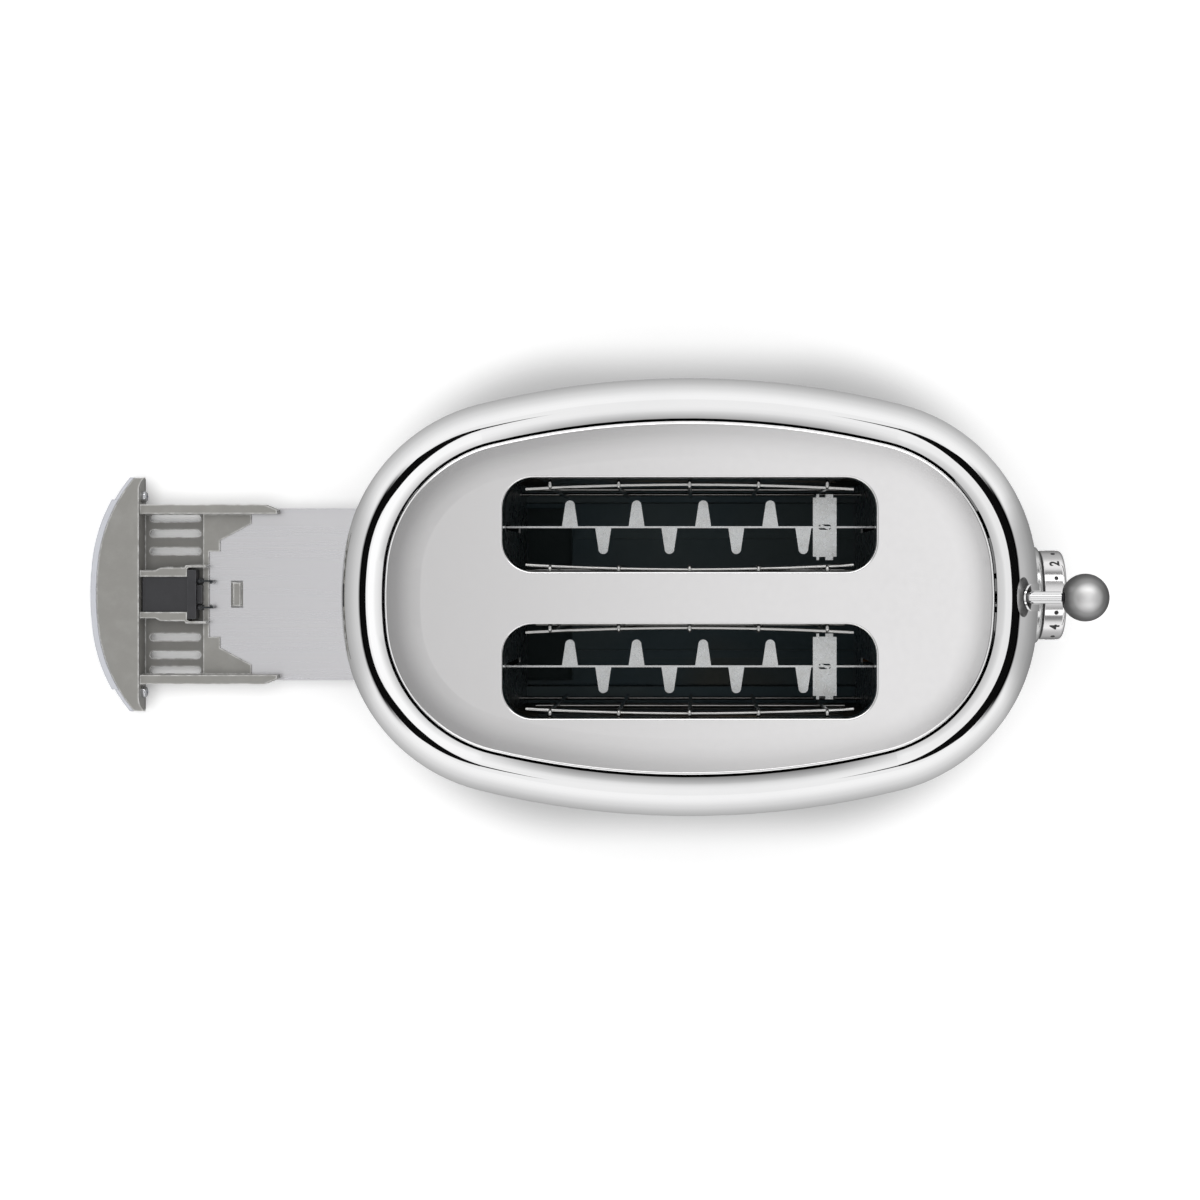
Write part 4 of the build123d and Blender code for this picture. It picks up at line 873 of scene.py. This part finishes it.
finishes = {
    "shellChrome": chromeFinish("shellChrome", chromeLook),
    "trimChrome": chromeFinish("trimChrome", {
        **chromeLook, "scale": 60.0, "clean": 0.05, "smudged": 0.12}),
    # the fascia's edges take a painted dark outline, standing in for a dark reflection along them
    "fasciaBright": plasticFinish("fasciaBright", {
        **plasticLook, "colour": (0.80, 0.815, 0.875), "deep": (0.76, 0.775, 0.83),
        "dustAndPaintedEdge": (0.20, 0.20, 0.21), "edgeAmount": 0.75, "edgeWidth": 0.0007, "rough": 0.16,
        "metallic": 0.5, "bump": 0.04, "low": None}),
    "rodChrome": chromeFinish("rodChrome", {
        **chromeLook, "metal": (0.88, 0.88, 0.885), "clean": 0.07}),
    "screwSteel": chromeFinish("screwSteel", {
        **chromeLook, "metal": (0.70, 0.71, 0.74), "clean": 0.12}),
    "plateSatin": satinFinish("plateSatin", satinLook),
    "dialSatin": satinFinish("dialSatin", {
        **satinLook, "rough": 0.11, "spread": 0.04, "stretch": (12.0, 1.0, 1.0), "bump": 0.04,
        "bends": None}),
    # the ball has painted shade, bright on top and darker down its sides
    "ballSatin": satinFinish("ballSatin", {
        **satinLook, "metal": (1.0, 0.995, 0.995), "dark": (0.95, 0.945, 0.945), "rough": 0.44,
        "spread": 0.03, "grain": 4200.0, "bump": 0.03, "bends": None,
        "paintedLeanShade": ((0.0, 0.10), (0.31, 0.13), (0.53, 0.20), (0.76, 0.40), (0.893, 0.75),
                  (0.965, 1.0))}),
    "ringSatin": satinFinish("ringSatin", {
        **satinLook, "metal": (0.66, 0.66, 0.66), "dark": (0.56, 0.56, 0.56), "rough": 0.16,
        "bends": None}),
    "buttonSatin": satinFinish("buttonSatin", {**satinLook, "rough": 0.25, "bends": None}),
    "brightZinc": zincFinish("brightZinc", zincLook),
    "plainZinc": zincFinish("plainZinc", {
        **zincLook, "bright": (0.62, 0.63, 0.63), "dull": (0.42, 0.43, 0.44), "scale": 420.0}),
    "heatedSteel": heatedFinish("heatedSteel", heatedLook),
    # pan and rails deep inside: heat-darkened sheet, darkened further as painted shade
    "darkPan": heatedFinish("darkPan", {
        **heatedLook, "metal": (0.115, 0.150, 0.160), "blue": (0.085, 0.125, 0.145),
        "straw": (0.125, 0.130, 0.115), "metallic": 0.2, "rough": 0.6, "scale": 12.0}),
    "guideWire": satinFinish("guideWire", {
        **satinLook, "metal": (0.66, 0.66, 0.65), "dark": (0.40, 0.39, 0.37), "rough": 0.26,
        "grain": 700.0, "bends": None}),
    "clawSteel": heatedFinish("clawSteel", {
        **heatedLook, "metal": (0.06, 0.06, 0.065), "blue": (0.04, 0.045, 0.05),
        "straw": (0.07, 0.065, 0.06), "rough": 0.3}),
    "springSteel": satinFinish("springSteel", {
        **satinLook, "metal": (0.45, 0.45, 0.46), "dark": (0.25, 0.25, 0.26), "rough": 0.28,
        "bends": None}),
    "ribbonAlloy": heatedFinish("ribbonAlloy", {
        **heatedLook, "metal": (0.14, 0.13, 0.12), "straw": (0.20, 0.15, 0.10),
        "metallic": 1.0}),
    "micaBoard": micaFinish("micaBoard", micaLook),
    "greyPlastic": plasticFinish("greyPlastic", plasticLook),
    "blackPlastic": plasticFinish("blackPlastic", {
        **plasticLook, "colour": (0.040, 0.040, 0.044), "deep": (0.026, 0.026, 0.029),
        "dustAndPaintedEdge": (0.12, 0.12, 0.13), "edgeWidth": 0.0006}),
    "footRubber": plasticFinish("footRubber", {
        **plasticLook, "colour": (0.030, 0.030, 0.030), "deep": (0.018, 0.018, 0.018),
        "dustAndPaintedEdge": (0.09, 0.09, 0.09), "rough": 0.7, "grain": 900.0}),
    "trayBrushed": brushedFinish("trayBrushed", brushedLook),
    "circuitBoard": boardFinish("circuitBoard", boardLook),
    "woundCore": coreFinish("woundCore", coreLook),
    "dialBlack": plasticFinish("dialBlack", {
        **plasticLook, "colour": (0.008, 0.008, 0.009), "deep": (0.004, 0.004, 0.004),
        "dustAndPaintedEdge": (0.03, 0.03, 0.03)}),
}

nodeFinish = {
    "shellChrome": ["body_shell", "base_band"],
    "trimChrome": ["button_bezels", "lever_slot_trim"],
    "ringSatin": ["control_ring"],
    "fasciaBright": ["tray_fascia"],
    "rodChrome": ["lever_arm"],
    "screwSteel": ["tray_screws", "base_screws"],
    "plateSatin": ["top_plate"],
    "dialSatin": ["dial_knob"],
    "ballSatin": ["lever_ball"],
    "buttonSatin": [
        "button_left_lower", "button_left_upper", "button_right_lower", "button_right_upper"],
    "brightZinc": ["bread_rest_left", "bread_rest_right", "rest_saddles"],
    "plainZinc": [
        "slider_bracket", "rod_brackets", "tray_striker", "board_standoffs", "keeper_plate",
        "lever_bulkhead", "tray_bulkhead"],
    "heatedSteel": ["heat_shield_left", "heat_shield_right"],
    "darkPan": ["base_pan", "tray_rails"],
    "guideWire": [
        "bread_guide_left_outer", "bread_guide_left_inner", "bread_guide_right_inner",
        "bread_guide_right_outer"],
    "springSteel": ["return_spring", "guide_rod", "dial_shaft"],
    "clawSteel": ["latch_claw_left", "latch_claw_right"],
    "ribbonAlloy": [
        "heater_ribbon_centre_left", "heater_ribbon_centre_right", "heater_ribbon_left",
        "heater_ribbon_right"],
    "micaBoard": ["heater_card_centre", "heater_card_left", "heater_card_right"],
    "greyPlastic": ["tray_front"],
    "blackPlastic": [
        "latch_body", "latch_plunger", "lever_collar", "cord_gland", "button_switches",
        "terminal_block", "dial_potentiometer", "slider_bush"],
    "footRubber": ["feet"],
    "trayBrushed": ["tray_plate"],
    "circuitBoard": ["control_board"],
    "woundCore": ["electromagnet"],
}
for finish, names in nodeFinish.items():
    for name in names:
        nodes[name].material_slots[0].material = finishes[finish]
unfinished = sorted(set(nodes) - {name for names in nodeFinish.values() for name in names})
print("finishes given, without one:", unfinished)


def blackMesh(made, name):
    # a mesh of what was made, with its normals outwards
    bmesh.ops.recalc_face_normals(made, faces=made.faces)
    mesh = bpy.data.meshes.new(name)
    made.to_mesh(mesh)
    made.free()
    mesh.materials.append(finishes["dialBlack"])
    return mesh


# numbers and half marks round the dial's rim, read from the lever end

dialMarks = {
    "centre": (0.1723, 0.0, 0.056),
    "radius": 0.02125,
    "proud": 0.00008,
    "sunk": 0.0003,
    "size": 0.0063,
    "bold": 0.0002,
    "weld": 0.00002,
    "dot": 0.00105,
    "dotSides": 28,
    "step": 45.0,  # degrees from one number to the next
    "top": 3,  # number that stands at the top at rest
    "count": 6,
}


def wrapOnRim(point, angle, setup):
    # across and along are metres on the unrolled rim, rise is the height over it
    across, along, rise = point
    turn = math.radians(angle) + across / setup["radius"]
    reach = setup["radius"] + rise
    centre = Vector(setup["centre"])
    return centre + Vector((-along, reach * math.sin(turn), reach * math.cos(turn)))


def numberOutline(text, setup):
    # a number as a flat mesh on the unrolled rim
    curve = bpy.data.curves.new("number", "FONT")
    curve.body = text
    curve.size = setup["size"]
    curve.align_x = "CENTER"
    curve.align_y = "CENTER"
    curve.offset = setup["bold"]
    holder = addObject("number", curve)
    bpy.context.view_layer.update()
    evaluated = holder.evaluated_get(bpy.context.evaluated_depsgraph_get())
    mesh = bpy.data.meshes.new_from_object(evaluated)
    bpy.data.objects.remove(holder)
    bpy.data.curves.remove(curve)
    return mesh


def addPrism(made, source, angle, setup):
    # raises flat faces from just under the rim to just over it
    lower, upper = {}, {}
    for vertex in source.verts:
        across, along = vertex.co.x, vertex.co.y
        lower[vertex] = made.verts.new(wrapOnRim((across, along, -setup["sunk"]), angle, setup))
        upper[vertex] = made.verts.new(wrapOnRim((across, along, setup["proud"]), angle, setup))
    for face in source.faces:
        made.faces.new([upper[vertex] for vertex in face.verts])
        made.faces.new([lower[vertex] for vertex in reversed(face.verts)])
    for edge in source.edges:
        if len(edge.link_faces) == 1:
            first, second = edge.verts
            if edge.link_loops[0].vert is not first:
                first, second = second, first
            made.faces.new([lower[first], lower[second], upper[second], upper[first]])


def makeDialMarks(setup):
    made = bmesh.new()
    for number in range(1, setup["count"] + 1):
        angle = (setup["top"] - number) * setup["step"]
        glyph = bmesh.new()
        outline = numberOutline(str(number), setup)
        glyph.from_mesh(outline)
        bpy.data.meshes.remove(outline)
        bmesh.ops.remove_doubles(glyph, verts=glyph.verts, dist=setup["weld"])
        bmesh.ops.subdivide_edges(glyph, edges=glyph.edges, cuts=1, use_grid_fill=False)
        bmesh.ops.triangulate(glyph, faces=glyph.faces)
        addPrism(made, glyph, angle, setup)
        glyph.free()
        if number < setup["count"]:
            dot = bmesh.new()
            bmesh.ops.create_circle(
                dot, cap_ends=True, radius=setup["dot"], segments=setup["dotSides"])
            addPrism(made, dot, angle - setup["step"] / 2, setup)
            dot.free()
    marks = addObject("dialMarks", blackMesh(made, "dialMarks"))
    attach(marks, "dial")


makeDialMarks(dialMarks)

# thin dark collar in the joint between the dial and its ring

dialCollar = {
    "level": 0.056,
    "back": 0.16575,
    "front": 0.16668,
    "outer": 0.0210,
    "inner": 0.0185,
    "edge": 0.0001,
    "steps": 96,
}


def makeDialCollar(setup):
    made = bmesh.new()
    back, front, edge = setup["back"], setup["front"], setup["edge"]
    outer, inner = setup["outer"], setup["inner"]
    profile = [  # along the axis and out from it
        (back, inner), (back, outer - edge), (back + edge, outer),
        (front - edge, outer), (front, outer - edge), (front, inner),
    ]
    steps = setup["steps"]
    rings = []
    for step in range(steps):
        turn = 2 * math.pi * step / steps
        ring = []
        for along, radius in profile:
            height = setup["level"] + radius * math.cos(turn)
            ring.append(made.verts.new((along, radius * math.sin(turn), height)))
        rings.append(ring)
    for step in range(steps):
        here, there = rings[step], rings[(step + 1) % steps]
        for corner in range(len(profile)):
            after = (corner + 1) % len(profile)
            made.faces.new([here[corner], there[corner], there[after], here[after]])
    collar = addObject("dialCollar", blackMesh(made, "dialCollar"))
    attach(collar, "dial")


makeDialCollar(dialCollar)
print("dial marked")
